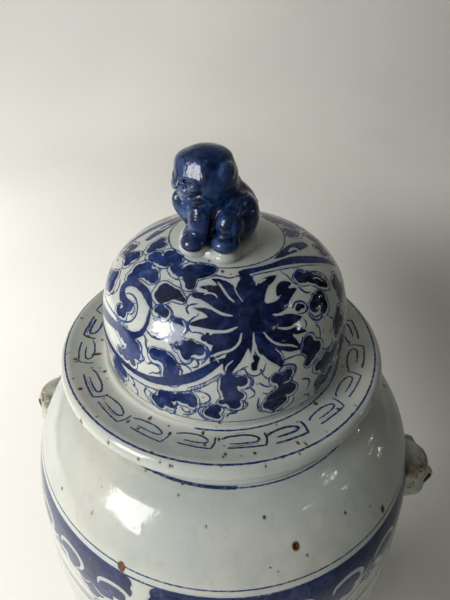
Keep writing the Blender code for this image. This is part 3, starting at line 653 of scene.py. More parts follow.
def paint_belly(painting):
    size = 1.62
    for repeat in range(3):
        lotus_scroll(
            Stamp(painting, turn=18.0 + 120.0 * repeat, turn_from=12.5, spread=0.665, down=80.0, down_from=88.0,
                  size=size)
        )
    foot = painting.down[-1]
    painting.ring(foot - 98.0, 0.6, 0.5, 0.7, depth=0.6)
    painting.ring(foot - 94.0, 1.1, 0.5, 1.1, depth=0.75)
    petals = 24
    for petal in range(petals):
        turn = petal * 360.0 / petals
        wide = 5.9
        painting.stroke([(turn - wide, foot - 30), (turn - wide, foot - 58), (turn - 4.4, foot - 76),
                         (turn, foot - 88), (turn + 4.4, foot - 76), (turn + wide, foot - 58),
                         (turn + wide, foot - 30)], 0.8, ends=(0.9, 0.9))
        painting.leaf([(turn, foot - 44, 5.0), (turn, foot - 55, 6.0), (turn, foot - 64, 4.6),
                       (turn, foot - 71, 2.6), (turn, foot - 35, 3.6)], 0.5, BELOW)
        painting.stroke([(turn, foot - 66), (turn - 0.6, foot - 56), (turn, foot - 44)], 0.8, layer="spare")
    painting.ring(foot - 28.0, 1.0, 0.4, 0.2, depth=0.75)
    painting.ring(foot - 12.0, 1.5, 0.4, 1.7, depth=0.8)
    painting.ring(foot - 7.6, 0.6, 0.4, 2.3, depth=0.6)


# ================================================================ meshes
def new_object(name, vertices, faces):
    mesh = bpy.data.meshes.new(name)
    mesh.from_pydata(vertices, [], faces)
    mesh.polygons.foreach_set("use_smooth", [True] * len(mesh.polygons))
    mesh.update()
    piece = bpy.data.objects.new(name, mesh)
    bpy.context.scene.collection.objects.link(piece)
    return piece


def store(piece, name, values, kind="FLOAT"):
    attribute = piece.data.attributes.new(name, kind, "POINT")
    slot_name = "value" if kind == "FLOAT" else "vector"
    attribute.data.foreach_set(slot_name, np.ascontiguousarray(values, np.float32).ravel())


def hand_turned(radius, height, turns, amount, seed, shift):
    """Radius and height of every vertex with the slight unevenness of a piece thrown by hand."""
    a = np.radians(turns)[None, :]
    z = height[:, None]
    wave = (
        0.55 * np.sin(2 * a + seed) + 0.30 * np.sin(3 * a + 2.1 * seed + 9.0 * z) + 0.25 * np.sin(a * 5 + seed * 3.7)
        + 0.55 * np.sin(75.0 * z + 1.3 * seed + 0.5 * np.sin(a)) + 0.22 * np.sin(210.0 * z + 2 * a + seed)
    )
    share = np.clip(radius / 0.03, 0.0, 1.0)[:, None]
    r = radius[:, None] + amount * wave * share
    return r, z + 0.35 * amount * np.sin(2 * a + 1.7 * seed) * share, shift * share


def turned(name, outer, inner_runs, columns, paint=None, wobble=0.00035, seed=0.0, shift=0.0, closed=False):
    """A thrown piece: the painted outer run of its outline, then the plain runs that follow it."""
    runs = [outer] + [smooth_path(run, step) for run, step in inner_runs]
    path = np.vstack(runs)
    turns = np.arange(columns) * 360.0 / columns
    r, z, dx = hand_turned(path[:, 0], path[:, 1], turns, wobble, seed, shift)
    a = np.radians(turns)[None, :]
    vertices = np.stack([r * np.sin(a) + dx, -r * np.cos(a), z + 0.0 * a], axis=-1).reshape(-1, 3)
    rows = len(path)
    i, j = np.meshgrid(np.arange(rows if closed else rows - 1), np.arange(columns), indexing="ij")
    below, along = (i + 1) % rows, (j + 1) % columns
    faces = np.stack(
        [i * columns + j, below * columns + j, below * columns + along, i * columns + along], axis=-1
    ).reshape(-1, 4)
    piece = new_object(name, vertices.tolist(), faces.tolist())
    painting = Painting(outer, columns)
    if paint is not None:
        paint(painting)
    rest = (rows - len(outer), columns)
    far = np.full(rest, FAR)

    def whole(field, filler):
        return np.vstack([field, filler])

    for layer in ("line", "spare"):
        strokes = getattr(painting, layer)
        offset = np.stack(
            [whole(strokes.across, far), whole(strokes.along, far), whole(strokes.half, 0.0 * far)], axis=-1
        )
        store(piece, layer, offset, "FLOAT_VECTOR")
        store(piece, layer + "_near", whole(np.hypot(strokes.across, strokes.along), far))
    store(piece, "line_depth", whole(painting.line.depth, 0.0 * far))
    store(piece, "wash", whole(painting.wash, far))
    store(piece, "tone", whole(painting.tone, 0.0 * far))
    store(piece, "spot", whole(painting.spot, far))
    return piece


# ================================================================ materials
class Graph:
    """Short names for building one material's nodes."""

    def __init__(self, name):
        self.material = bpy.data.materials.new(name)
        self.material.use_nodes = True
        self.tree = self.material.node_tree
        self.tree.nodes.clear()
        self.coordinates = self.tree.nodes.new("ShaderNodeTexCoord").outputs["Object"]

    def feed(self, socket, value):
        if isinstance(value, bpy.types.NodeSocket):
            self.tree.links.new(value, socket)
        else:
            socket.default_value = value

    def math(self, operation, a, b=0.0):
        node = self.tree.nodes.new("ShaderNodeMath")
        node.operation = operation
        for socket, value in zip(node.inputs, (a, b)):
            self.feed(socket, value)
        return node.outputs[0]

    def ramp(self, value, low, high, out_low=0.0, out_high=1.0):
        node = self.tree.nodes.new("ShaderNodeMapRange")
        node.interpolation_type = "SMOOTHSTEP"
        for socket, number in zip(node.inputs, (value, low, high, out_low, out_high)):
            self.feed(socket, number)
        return node.outputs[0]

    def mix(self, share, a, b):
        node = self.tree.nodes.new("ShaderNodeMix")
        node.data_type = "RGBA"
        self.feed(node.inputs["Factor"], share)
        self.feed(node.inputs[6], a)
        self.feed(node.inputs[7], b)
        return node.outputs[2]

    def noise(self, scale, detail=2.0, roughness=0.5, distortion=0.0, stretch=(1.0, 1.0, 1.0), offset=0.0):
        mapping = self.tree.nodes.new("ShaderNodeMapping")
        mapping.inputs["Scale"].default_value = stretch
        mapping.inputs["Location"].default_value = (offset, 0.7 * offset, -0.4 * offset)
        self.tree.links.new(self.coordinates, mapping.inputs["Vector"])
        node = self.tree.nodes.new("ShaderNodeTexNoise")
        self.tree.links.new(mapping.outputs[0], node.inputs["Vector"])
        node.inputs["Scale"].default_value = scale
        node.inputs["Detail"].default_value = detail
        node.inputs["Roughness"].default_value = roughness
        node.inputs["Distortion"].default_value = distortion
        return node.outputs[0]

    def cells(self, scale):
        node = self.tree.nodes.new("ShaderNodeTexVoronoi")
        self.tree.links.new(self.coordinates, node.inputs["Vector"])
        node.inputs["Scale"].default_value = scale
        return node

    def stored(self, name, output="Fac"):
        node = self.tree.nodes.new("ShaderNodeAttribute")
        node.attribute_name = name
        return node.outputs[output]

    def bump(self, height, distance, under=None):
        node = self.tree.nodes.new("ShaderNodeBump")
        node.inputs["Strength"].default_value = 1.0
        node.inputs["Distance"].default_value = distance
        self.feed(node.inputs["Height"], height)
        if under is not None:
            self.feed(node.inputs["Normal"], under)
        return node.outputs[0]

    def surface(self, colour, roughness, normal, **extra):
        shader = self.tree.nodes.new("ShaderNodeBsdfPrincipled")
        self.feed(shader.inputs["Base Color"], colour)
        self.feed(shader.inputs["Roughness"], roughness)
        self.feed(shader.inputs["Normal"], normal)
        for name, value in extra.items():
            self.feed(shader.inputs[name.replace("_", " ")], value)
        output = self.tree.nodes.new("ShaderNodeOutputMaterial")
        self.tree.links.new(shader.outputs[0], output.inputs[0])
        return self.material


def linear(red, green, blue):
    """A colour given as it looks on a screen, 0 to 255, as the renderer counts it."""
    return tuple(((c / 255 + 0.055) / 1.055) ** 2.4 if c > 10 else c / 3294.6 for c in (red, green, blue)) + (1.0,)


GLAZE_WARM, GLAZE_COOL = linear(214, 214, 205), linear(199, 205, 202)
GLAZE_THICK, GLAZE_GREY = linear(184, 195, 187), linear(187, 187, 178)
COBALT_THIN, COBALT_FULL, COBALT_HEAPED = linear(22, 84, 156), linear(2, 38, 102), linear(0, 13, 42)
COBALT_PURPLE = linear(36, 54, 100)
IRON_DARK, IRON_WARM = linear(48, 30, 22), linear(128, 84, 48)
SPECK_SCALE, PINHOLE_SCALE = 92.0, 297.0  # cells in a metre


def stroke_mask(graph, layer, wobble, soft, margin):
    """1 inside the strokes of a layer, 0 outside; the near gate keeps lines from appearing midway between two."""
    split = graph.tree.nodes.new("ShaderNodeSeparateXYZ")
    graph.tree.links.new(graph.stored(layer, "Vector"), split.inputs[0])
    flat = graph.math("SQRT", graph.math("ADD", graph.math("MULTIPLY", split.outputs[0], split.outputs[0]),
                                         graph.math("MULTIPLY", split.outputs[1], split.outputs[1])))
    distance = graph.math("ADD", graph.math("SUBTRACT", flat, split.outputs[2]), wobble)
    inside = graph.ramp(distance, soft, -soft)
    drawn = graph.ramp(split.outputs[2], 0.02, 0.14)
    reach = graph.math("SUBTRACT", graph.stored(layer + "_near"), split.outputs[2])
    near = graph.ramp(reach, margin + 0.25, margin - 0.05)
    return graph.math("MULTIPLY", graph.math("MULTIPLY", inside, drawn), near)


def painted_glaze(name, margin):
    """Grey-white porcelain glaze over cobalt brushwork, with iron specks fired through."""
    g = Graph(name)
    shake = g.math("MULTIPLY", g.math("SUBTRACT", g.noise(420.0, 3.0, 0.6), 0.5), 0.75)
    slow = g.noise(26.0, 3.0, 0.55, 0.4)
    cloud = g.noise(7.0, 3.0, 0.6, 0.6, offset=0.31)
    fine = g.noise(2600.0, 2.0, 0.6)
    line = stroke_mask(g, "line", shake, 0.20, margin)
    spare = stroke_mask(g, "spare", g.math("MULTIPLY", shake, 0.8), 0.22, margin)
    wash_distance = g.math("ADD", g.stored("wash"), g.math("MULTIPLY", shake, 1.15))
    wash = g.ramp(wash_distance, 0.28, -0.28)
    wash = g.math("MULTIPLY", wash, g.math("SUBTRACT", 1.0, g.math("MULTIPLY", spare, 0.97)))
    # the wash pools darker at its rim and wherever the brush paused, and is thin in the middle of some strokes
    rim = g.ramp(wash_distance, -1.5, -0.1)
    pooled = g.noise(105.0, 4.0, 0.62, 0.9, offset=1.7)
    streaks = g.noise(190.0, 3.0, 0.6, 0.5, stretch=(1.0, 1.0, 0.35), offset=2.9)
    load = g.math("ADD", g.math("MULTIPLY", pooled, 0.95), g.math("MULTIPLY", g.stored("tone"), 0.62))
    load = g.math("ADD", load, g.math("MULTIPLY", streaks, 0.40))
    load = g.math("ADD", load, g.math("MULTIPLY", rim, 0.16))
    thin_to_full = g.ramp(load, 0.56, 0.98)
    heaped = g.ramp(load, 0.90, 1.36)
    cobalt = g.mix(thin_to_full, COBALT_THIN, COBALT_FULL)
    cobalt = g.mix(heaped, cobalt, COBALT_HEAPED)
    heap_spots = g.ramp(g.noise(780.0, 2.0, 0.7, offset=4.1), 0.64, 0.74)
    cobalt = g.mix(g.math("MULTIPLY", heap_spots, 0.55), cobalt, COBALT_HEAPED)
    cobalt = g.mix(g.ramp(g.noise(38.0, 2.0, 0.5, offset=6.0), 0.58, 0.74, 0.0, 0.26), cobalt, COBALT_PURPLE)
    line_load = g.math("ADD", g.math("MULTIPLY", g.stored("line_depth"), 0.9), g.math("MULTIPLY", pooled, 0.8))
    line_cobalt = g.mix(g.ramp(line_load, 0.45, 1.25), COBALT_THIN, COBALT_FULL)
    line_cobalt = g.mix(g.ramp(line_load, 1.25, 1.8), line_cobalt, COBALT_HEAPED)
    # the bare glaze: warm and cool clouds, thicker greenish pools, faint grey, and blue bled from the paint
    glaze = g.mix(g.ramp(cloud, 0.36, 0.66), GLAZE_WARM, GLAZE_COOL)
    glaze = g.mix(g.ramp(slow, 0.50, 0.72, 0.0, 0.50), glaze, GLAZE_THICK)
    glaze = g.mix(g.ramp(g.noise(130.0, 4.0, 0.7, offset=8.0), 0.52, 0.74, 0.0, 0.34), glaze, GLAZE_GREY)
    glaze = g.mix(g.ramp(fine, 0.60, 0.78, 0.0, 0.10), glaze, GLAZE_GREY)
    bleed = g.ramp(g.stored("wash"), 2.4, 0.0, 0.0, 0.16)
    glaze = g.mix(bleed, glaze, COBALT_THIN)
    colour = g.mix(g.math("MULTIPLY", wash, g.ramp(pooled, 0.25, 0.55, 0.90, 0.98)), glaze, cobalt)
    dry = g.ramp(g.noise(300.0, 3.0, 0.7, offset=3.3), 0.30, 0.52, 0.62, 0.96)
    colour = g.mix(g.math("MULTIPLY", line, dry), colour, line_cobalt)
    # iron: tiny specks scattered at random, and the larger blisters placed one by one
    speck_cells = g.cells(SPECK_SCALE)
    rare = g.ramp(g.noise(61.0, 1.0, 0.5, offset=9.4), 0.57, 0.64)
    speck = g.math("MULTIPLY", g.ramp(speck_cells.outputs["Distance"], 0.085, 0.035), rare)
    spot_distance = g.math("ADD", g.stored("spot"), g.math("MULTIPLY", shake, 1.3))
    spot = g.ramp(spot_distance, 0.22, -0.22)
    stain = g.ramp(spot_distance, 1.0, 0.0, 0.0, 0.34)
    iron = g.mix(g.ramp(g.noise(520.0, 2.0, 0.6, offset=5.2), 0.40, 0.62), IRON_DARK, IRON_WARM)
    colour = g.mix(stain, colour, IRON_WARM)
    colour = g.mix(g.math("MAXIMUM", spot, g.math("MULTIPLY", speck, 0.85)), colour, iron)
    pin_cells = g.cells(PINHOLE_SCALE)
    pin = g.math("MULTIPLY", g.ramp(pin_cells.outputs["Distance"], 0.11, 0.05),
                 g.ramp(g.noise(84.0, 1.0, 0.5, offset=11.0), 0.58, 0.66))
    colour = g.mix(g.math("MULTIPLY", pin, 0.45), colour, GLAZE_GREY)
    rough = g.ramp(g.noise(55.0, 4.0, 0.65, offset=7.7), 0.30, 0.75, 0.055, 0.15)
    rough = g.math("ADD", rough, g.math("MULTIPLY", spot, 0.30))
    rough = g.math("ADD", rough, g.math("MULTIPLY", pin, 0.2))
    waves = g.bump(g.noise(30.0, 2.0, 0.45, offset=12.0), 0.0011)
    peel = g.bump(g.noise(380.0, 2.0, 0.5, offset=13.0), 0.00010, under=waves)
    dents = g.math("SUBTRACT", g.math("MULTIPLY", spot, 0.5), pin)
    normal = g.bump(g.math("ADD", dents, g.math("MULTIPLY", wash, 0.10)), 0.00022, under=peel)
    return g.surface(colour, rough, normal, Specular_IOR_Level=0.5)


def bare_clay(name):
    """Unglazed pale stoneware: sandy, worn dark where it has been slid about."""
    g = Graph(name)
    grain = g.noise(900.0, 5.0, 0.7)
    blotch = g.noise(60.0, 4.0, 0.6, offset=2.0)
    colour = g.mix(g.ramp(blotch, 0.35, 0.68), linear(196, 178, 150), linear(168, 142, 112))
    colour = g.mix(g.ramp(grain, 0.50, 0.72, 0.0, 0.6), colour, linear(132, 108, 84))
    dirt = g.ramp(g.noise(150.0, 4.0, 0.7, offset=5.0), 0.54, 0.70, 0.0, 0.55)
    colour = g.mix(dirt, colour, linear(84, 68, 54))
    sand = g.bump(grain, 0.0003)
    normal = g.bump(g.noise(170.0, 3.0, 0.6, offset=3.0), 0.0004, under=sand)
    return g.surface(colour, g.ramp(grain, 0.3, 0.7, 0.62, 0.9), normal, Specular_IOR_Level=0.25)


def cobalt_figure(name):
    """Thick cobalt glaze on a modelled figure: streaked blue, thin and milky on edges, black in the hollows."""
    g = Graph(name)
    ridge, pale = g.stored("ridge"), g.stored("pale")
    mottled = g.noise(95.0, 4.0, 0.62, 1.1)
    runs = g.noise(130.0, 4.0, 0.6, 0.9, stretch=(1.0, 1.0, 0.28), offset=1.3)
    colour = g.mix(g.ramp(mottled, 0.36, 0.66), linear(16, 27, 58), linear(42, 64, 114))
    colour = g.mix(g.ramp(runs, 0.52, 0.70, 0.0, 0.85), colour, linear(56, 104, 150))
    drifts = g.noise(48.0, 3.0, 0.6, 0.8, offset=14.2)
    colour = g.mix(g.ramp(drifts, 0.50, 0.66, 0.0, 0.55), colour, linear(64, 96, 140))
    colour = g.mix(g.ramp(g.noise(70.0, 3.0, 0.6, offset=4.0), 0.50, 0.70, 0.0, 0.6), colour, linear(66, 66, 104))
    colour = g.mix(g.ramp(ridge, 0.10, 0.70, 0.0, 0.65), colour, linear(104, 118, 154))
    colour = g.mix(g.ramp(ridge, -0.08, -0.60, 0.0, 0.92), colour, linear(6, 7, 20))
    milky = g.ramp(g.noise(260.0, 4.0, 0.7, offset=6.0), 0.60, 0.78, 0.0, 0.45)
    colour = g.mix(milky, colour, linear(112, 122, 160))
    thin = g.math("ADD", pale, g.math("MULTIPLY", g.math("SUBTRACT", g.noise(240.0, 3.0, 0.6, offset=8.0), 0.5), 0.9))
    colour = g.mix(g.ramp(thin, 0.35, 0.72), colour, linear(196, 200, 196))
    black = g.ramp(g.noise(560.0, 2.0, 0.6, offset=9.0), 0.68, 0.76, 0.0, 0.75)
    colour = g.mix(black, colour, linear(8, 8, 18))
    rough = g.ramp(g.noise(120.0, 3.0, 0.6, offset=5.0), 0.3, 0.7, 0.05, 0.14)
    swell = g.bump(g.noise(120.0, 3.0, 0.5, offset=3.0), 0.0009)
    normal = g.bump(g.noise(700.0, 2.0, 0.5, offset=2.0), 0.00012, under=swell)
    return g.surface(colour, rough, normal, Specular_IOR_Level=0.6)


def celadon_mask(name):
    """Pale greenish glaze on the mask lugs, washed brown on the brow and in the hollows."""
    g = Graph(name)
    ridge, brown, dark = g.stored("ridge"), g.stored("brown"), g.stored("ink")
    cloud = g.noise(90.0, 4.0, 0.6, 0.5)
    colour = g.mix(g.ramp(cloud, 0.38, 0.64), linear(206, 204, 190), linear(172, 182, 168))
    colour = g.mix(g.ramp(ridge, 0.15, 0.80, 0.0, 0.55), colour, linear(226, 222, 208))
    hollow = g.ramp(ridge, -0.05, -0.55, 0.0, 0.80)
    colour = g.mix(hollow, colour, linear(96, 78, 52))
    patchy = g.math("SUBTRACT", g.noise(160.0, 4.0, 0.65, offset=3.0), 0.5)
    stain = g.math("ADD", brown, g.math("MULTIPLY", patchy, 1.2))
    colour = g.mix(g.ramp(stain, 0.50, 1.15, 0.0, 0.72), colour, linear(118, 92, 58))
    colour = g.mix(g.ramp(stain, 1.10, 1.55, 0.0, 0.80), colour, linear(58, 42, 28))
    edge = g.math("ADD", dark, g.math("MULTIPLY", g.math("SUBTRACT", g.noise(500.0, 2.0, 0.6), 0.5), 0.5))
    colour = g.mix(g.ramp(edge, 0.35, 0.75, 0.0, 0.92), colour, linear(34, 32, 44))
    fleck = g.ramp(g.noise(640.0, 3.0, 0.65, offset=7.0), 0.64, 0.74, 0.0, 0.7)
    colour = g.mix(fleck, colour, linear(88, 66, 44))
    rough = g.ramp(g.noise(140.0, 3.0, 0.6, offset=5.0), 0.3, 0.7, 0.07, 0.22)
    swell = g.bump(g.noise(210.0, 3.0, 0.5, offset=4.0), 0.0006)
    normal = g.bump(g.noise(900.0, 2.0, 0.5, offset=2.0), 0.00010, under=swell)
    return g.surface(colour, rough, normal, Specular_IOR_Level=0.5)


# ================================================================ modelled figures
class Clay:
    """A lump of clay as distances on a grid, in millimetres; forms melt into it or are pressed out of it."""

    def __init__(self, low, high, cell):
        self.low, self.cell = np.asarray(low, float), cell
        count = np.ceil((np.asarray(high, float) - self.low) / cell).astype(int) + 1
        axes = [self.low[k] + cell * np.arange(count[k]) for k in range(3)]
        self.x, self.y, self.z = np.meshgrid(*axes, indexing="ij", sparse=True)
        self.field = np.full(tuple(count), 30.0, np.float32)

    def ellipsoid(self, centre, radii, tilt=0.0, turn=0.0):
        """Distances to an egg of clay, tipped forward by tilt and turned about the upright by turn."""
        dx, dy, dz = self.x - centre[0], self.y - centre[1], self.z - centre[2]
        if turn:
            dx, dy = dx * math.cos(turn) + dy * math.sin(turn), dy * math.cos(turn) - dx * math.sin(turn)
        if tilt:
            dx, dz = dx * math.cos(tilt) - dz * math.sin(tilt), dx * math.sin(tilt) + dz * math.cos(tilt)
        near = np.sqrt((dx / radii[0]) ** 2 + (dy / radii[1]) ** 2 + (dz / radii[2]) ** 2)
        steep = np.sqrt((dx / radii[0] ** 2) ** 2 + (dy / radii[1] ** 2) ** 2 + (dz / radii[2] ** 2) ** 2)
        return near * (near - 1.0) / np.maximum(steep, 1e-6)

    def cord(self, points, half):
        """Distances to a rolled cord of clay, or to the groove a round tool would leave."""
        total = None
        points = np.asarray(points, float)
        for a, b in zip(points, points[1:]):
            d = b[:3] - a[:3]
            px, py, pz = self.x - a[0], self.y - a[1], self.z - a[2]
            k = np.clip((px * d[0] + py * d[1] + pz * d[2]) / (d @ d + 1e-9), 0.0, 1.0)
            away = np.sqrt((px - k * d[0]) ** 2 + (py - k * d[1]) ** 2 + (pz - k * d[2]) ** 2) - half
            total = away if total is None else np.minimum(total, away)
        return total

    def add(self, form, blend):
        h = np.clip(0.5 + 0.5 * (self.field - form) / blend, 0.0, 1.0)
        self.field = (self.field * (1 - h) + form * h - blend * h * (1 - h)).astype(np.float32)

    def press(self, form, blend):
        h = np.clip(0.5 - 0.5 * (self.field + form) / blend, 0.0, 1.0)
        self.field = (self.field * (1 - h) - form * h + blend * h * (1 - h)).astype(np.float32)

    def cut_below(self, height, blend=0.6):
        self.press(self.z * 1.0 - height + 0.0 * self.x + 0.0 * self.y, blend)

    def skin(self):
        """Vertices and quads of the surface where the distance is nought, one vertex in each cell it crosses."""
        f = self.field
        inside = f < 0.0
        corners = [inside[i : f.shape[0] - 1 + i, j : f.shape[1] - 1 + j, k : f.shape[2] - 1 + k]
                   for i in (0, 1) for j in (0, 1) for k in (0, 1)]
        filled = np.sum(corners, axis=0)
        cells = np.argwhere((filled > 0) & (filled < 8))
        number = np.full(filled.shape, -1)
        number[tuple(cells.T)] = np.arange(len(cells))
        total = np.zeros((len(cells), 3))
        hits = np.zeros(len(cells))
        offsets = [np.array((i, j, k)) for i in (0, 1) for j in (0, 1) for k in (0, 1)]
        for a in offsets:
            for axis in range(3):
                if a[axis]:
                    continue
                b = a.copy()
                b[axis] = 1
                va, vb = f[tuple((cells + a).T)], f[tuple((cells + b).T)]
                crosses = (va < 0) != (vb < 0)
                k = np.where(crosses, va / np.where(crosses, va - vb, 1.0), 0.0)
                point = a + k[:, None] * (b - a)
                total += np.where(crosses[:, None], point, 0.0)
                hits += crosses
        vertices = self.low + self.cell * (cells + total / hits[:, None])
        quads = []
        for axis in range(3):
            u, v = [(1, 2), (2, 0), (0, 1)][axis]
            size = [slice(None)] * 3
            size[axis] = slice(0, -1)
            ahead = [slice(None)] * 3
            ahead[axis] = slice(1, None)
            change = inside[tuple(size)].astype(int) - inside[tuple(ahead)].astype(int)
            edges = np.argwhere(change != 0)
            keep = (edges[:, u] > 0) & (edges[:, v] > 0)
            keep &= (edges[:, u] < filled.shape[u]) & (edges[:, v] < filled.shape[v])
            edges = edges[keep]
            way = change[tuple(edges.T)]
            step_u, step_v = np.zeros(3, int), np.zeros(3, int)
            step_u[u] = step_v[v] = 1
            around = [edges - step_u - step_v, edges - step_v, edges, edges - step_u]
            quad = np.stack([number[tuple(p.T)] for p in around], axis=1)
            quad[way < 0] = quad[way < 0][:, ::-1]
            quads.append(quad)
        return vertices, np.vstack(quads)

    def ridges(self, vertices, spread):
        """How far each vertex stands proud of its surroundings: positive on ridges, negative in hollows."""
        soft = self.field.copy()
        for _ in range(spread):
            for axis in range(3):
                soft = (np.roll(soft, 1, axis) + 2.0 * soft + np.roll(soft, -1, axis)) / 4.0
        place = np.clip(((vertices - self.low) / self.cell).round().astype(int), 0, np.array(soft.shape) - 1)
        index = tuple(place.T)
        return (soft[index] - self.field[index]) / self.cell


def sculpted(name, clay, spread=5):
    """The clay as an object that remembers its ridges, and its vertices in millimetres."""
    vertices, quads = clay.skin()
    piece = new_object(name, (vertices * 0.001).tolist(), quads.tolist())
    ridge = clay.ridges(vertices, spread)
    store(piece, "ridge", ridge)
    return piece, vertices


def spiral(centre, size, turns, start, facing):
    """Points of a curl on a slope whose outward direction is facing (x, y, z)."""
    out = np.array(facing, float)
    out /= np.linalg.norm(out)
    side = np.cross(out, (0.0, 0.0, 1.0))
    side /= np.linalg.norm(side)
    up = np.cross(side, out)
    a = np.linspace(0.0, turns * 2 * math.pi, int(9 * turns) + 2)
    r = size * (1.0 - 0.78 * a / a[-1])
    way = np.cos(a + start)[:, None] * side + np.sin(a + start)[:, None] * up
    return np.asarray(centre, float) + r[:, None] * way


LION_HEADING = math.radians(-130.0)
LION_PLACE = (0.0002, -0.0052, 0.5464)
LION_SIZE, HEAD_TURN = 1.09, -0.36
LUG_HEADINGS = {"front": -101.5, "right": -11.5, "back": 78.5, "left": 168.5}
LUG_PLACE = (0.1545, 0.0, 0.3378)
LUG_STRETCH = (1.36, 1.08, 1.34, 1.0)


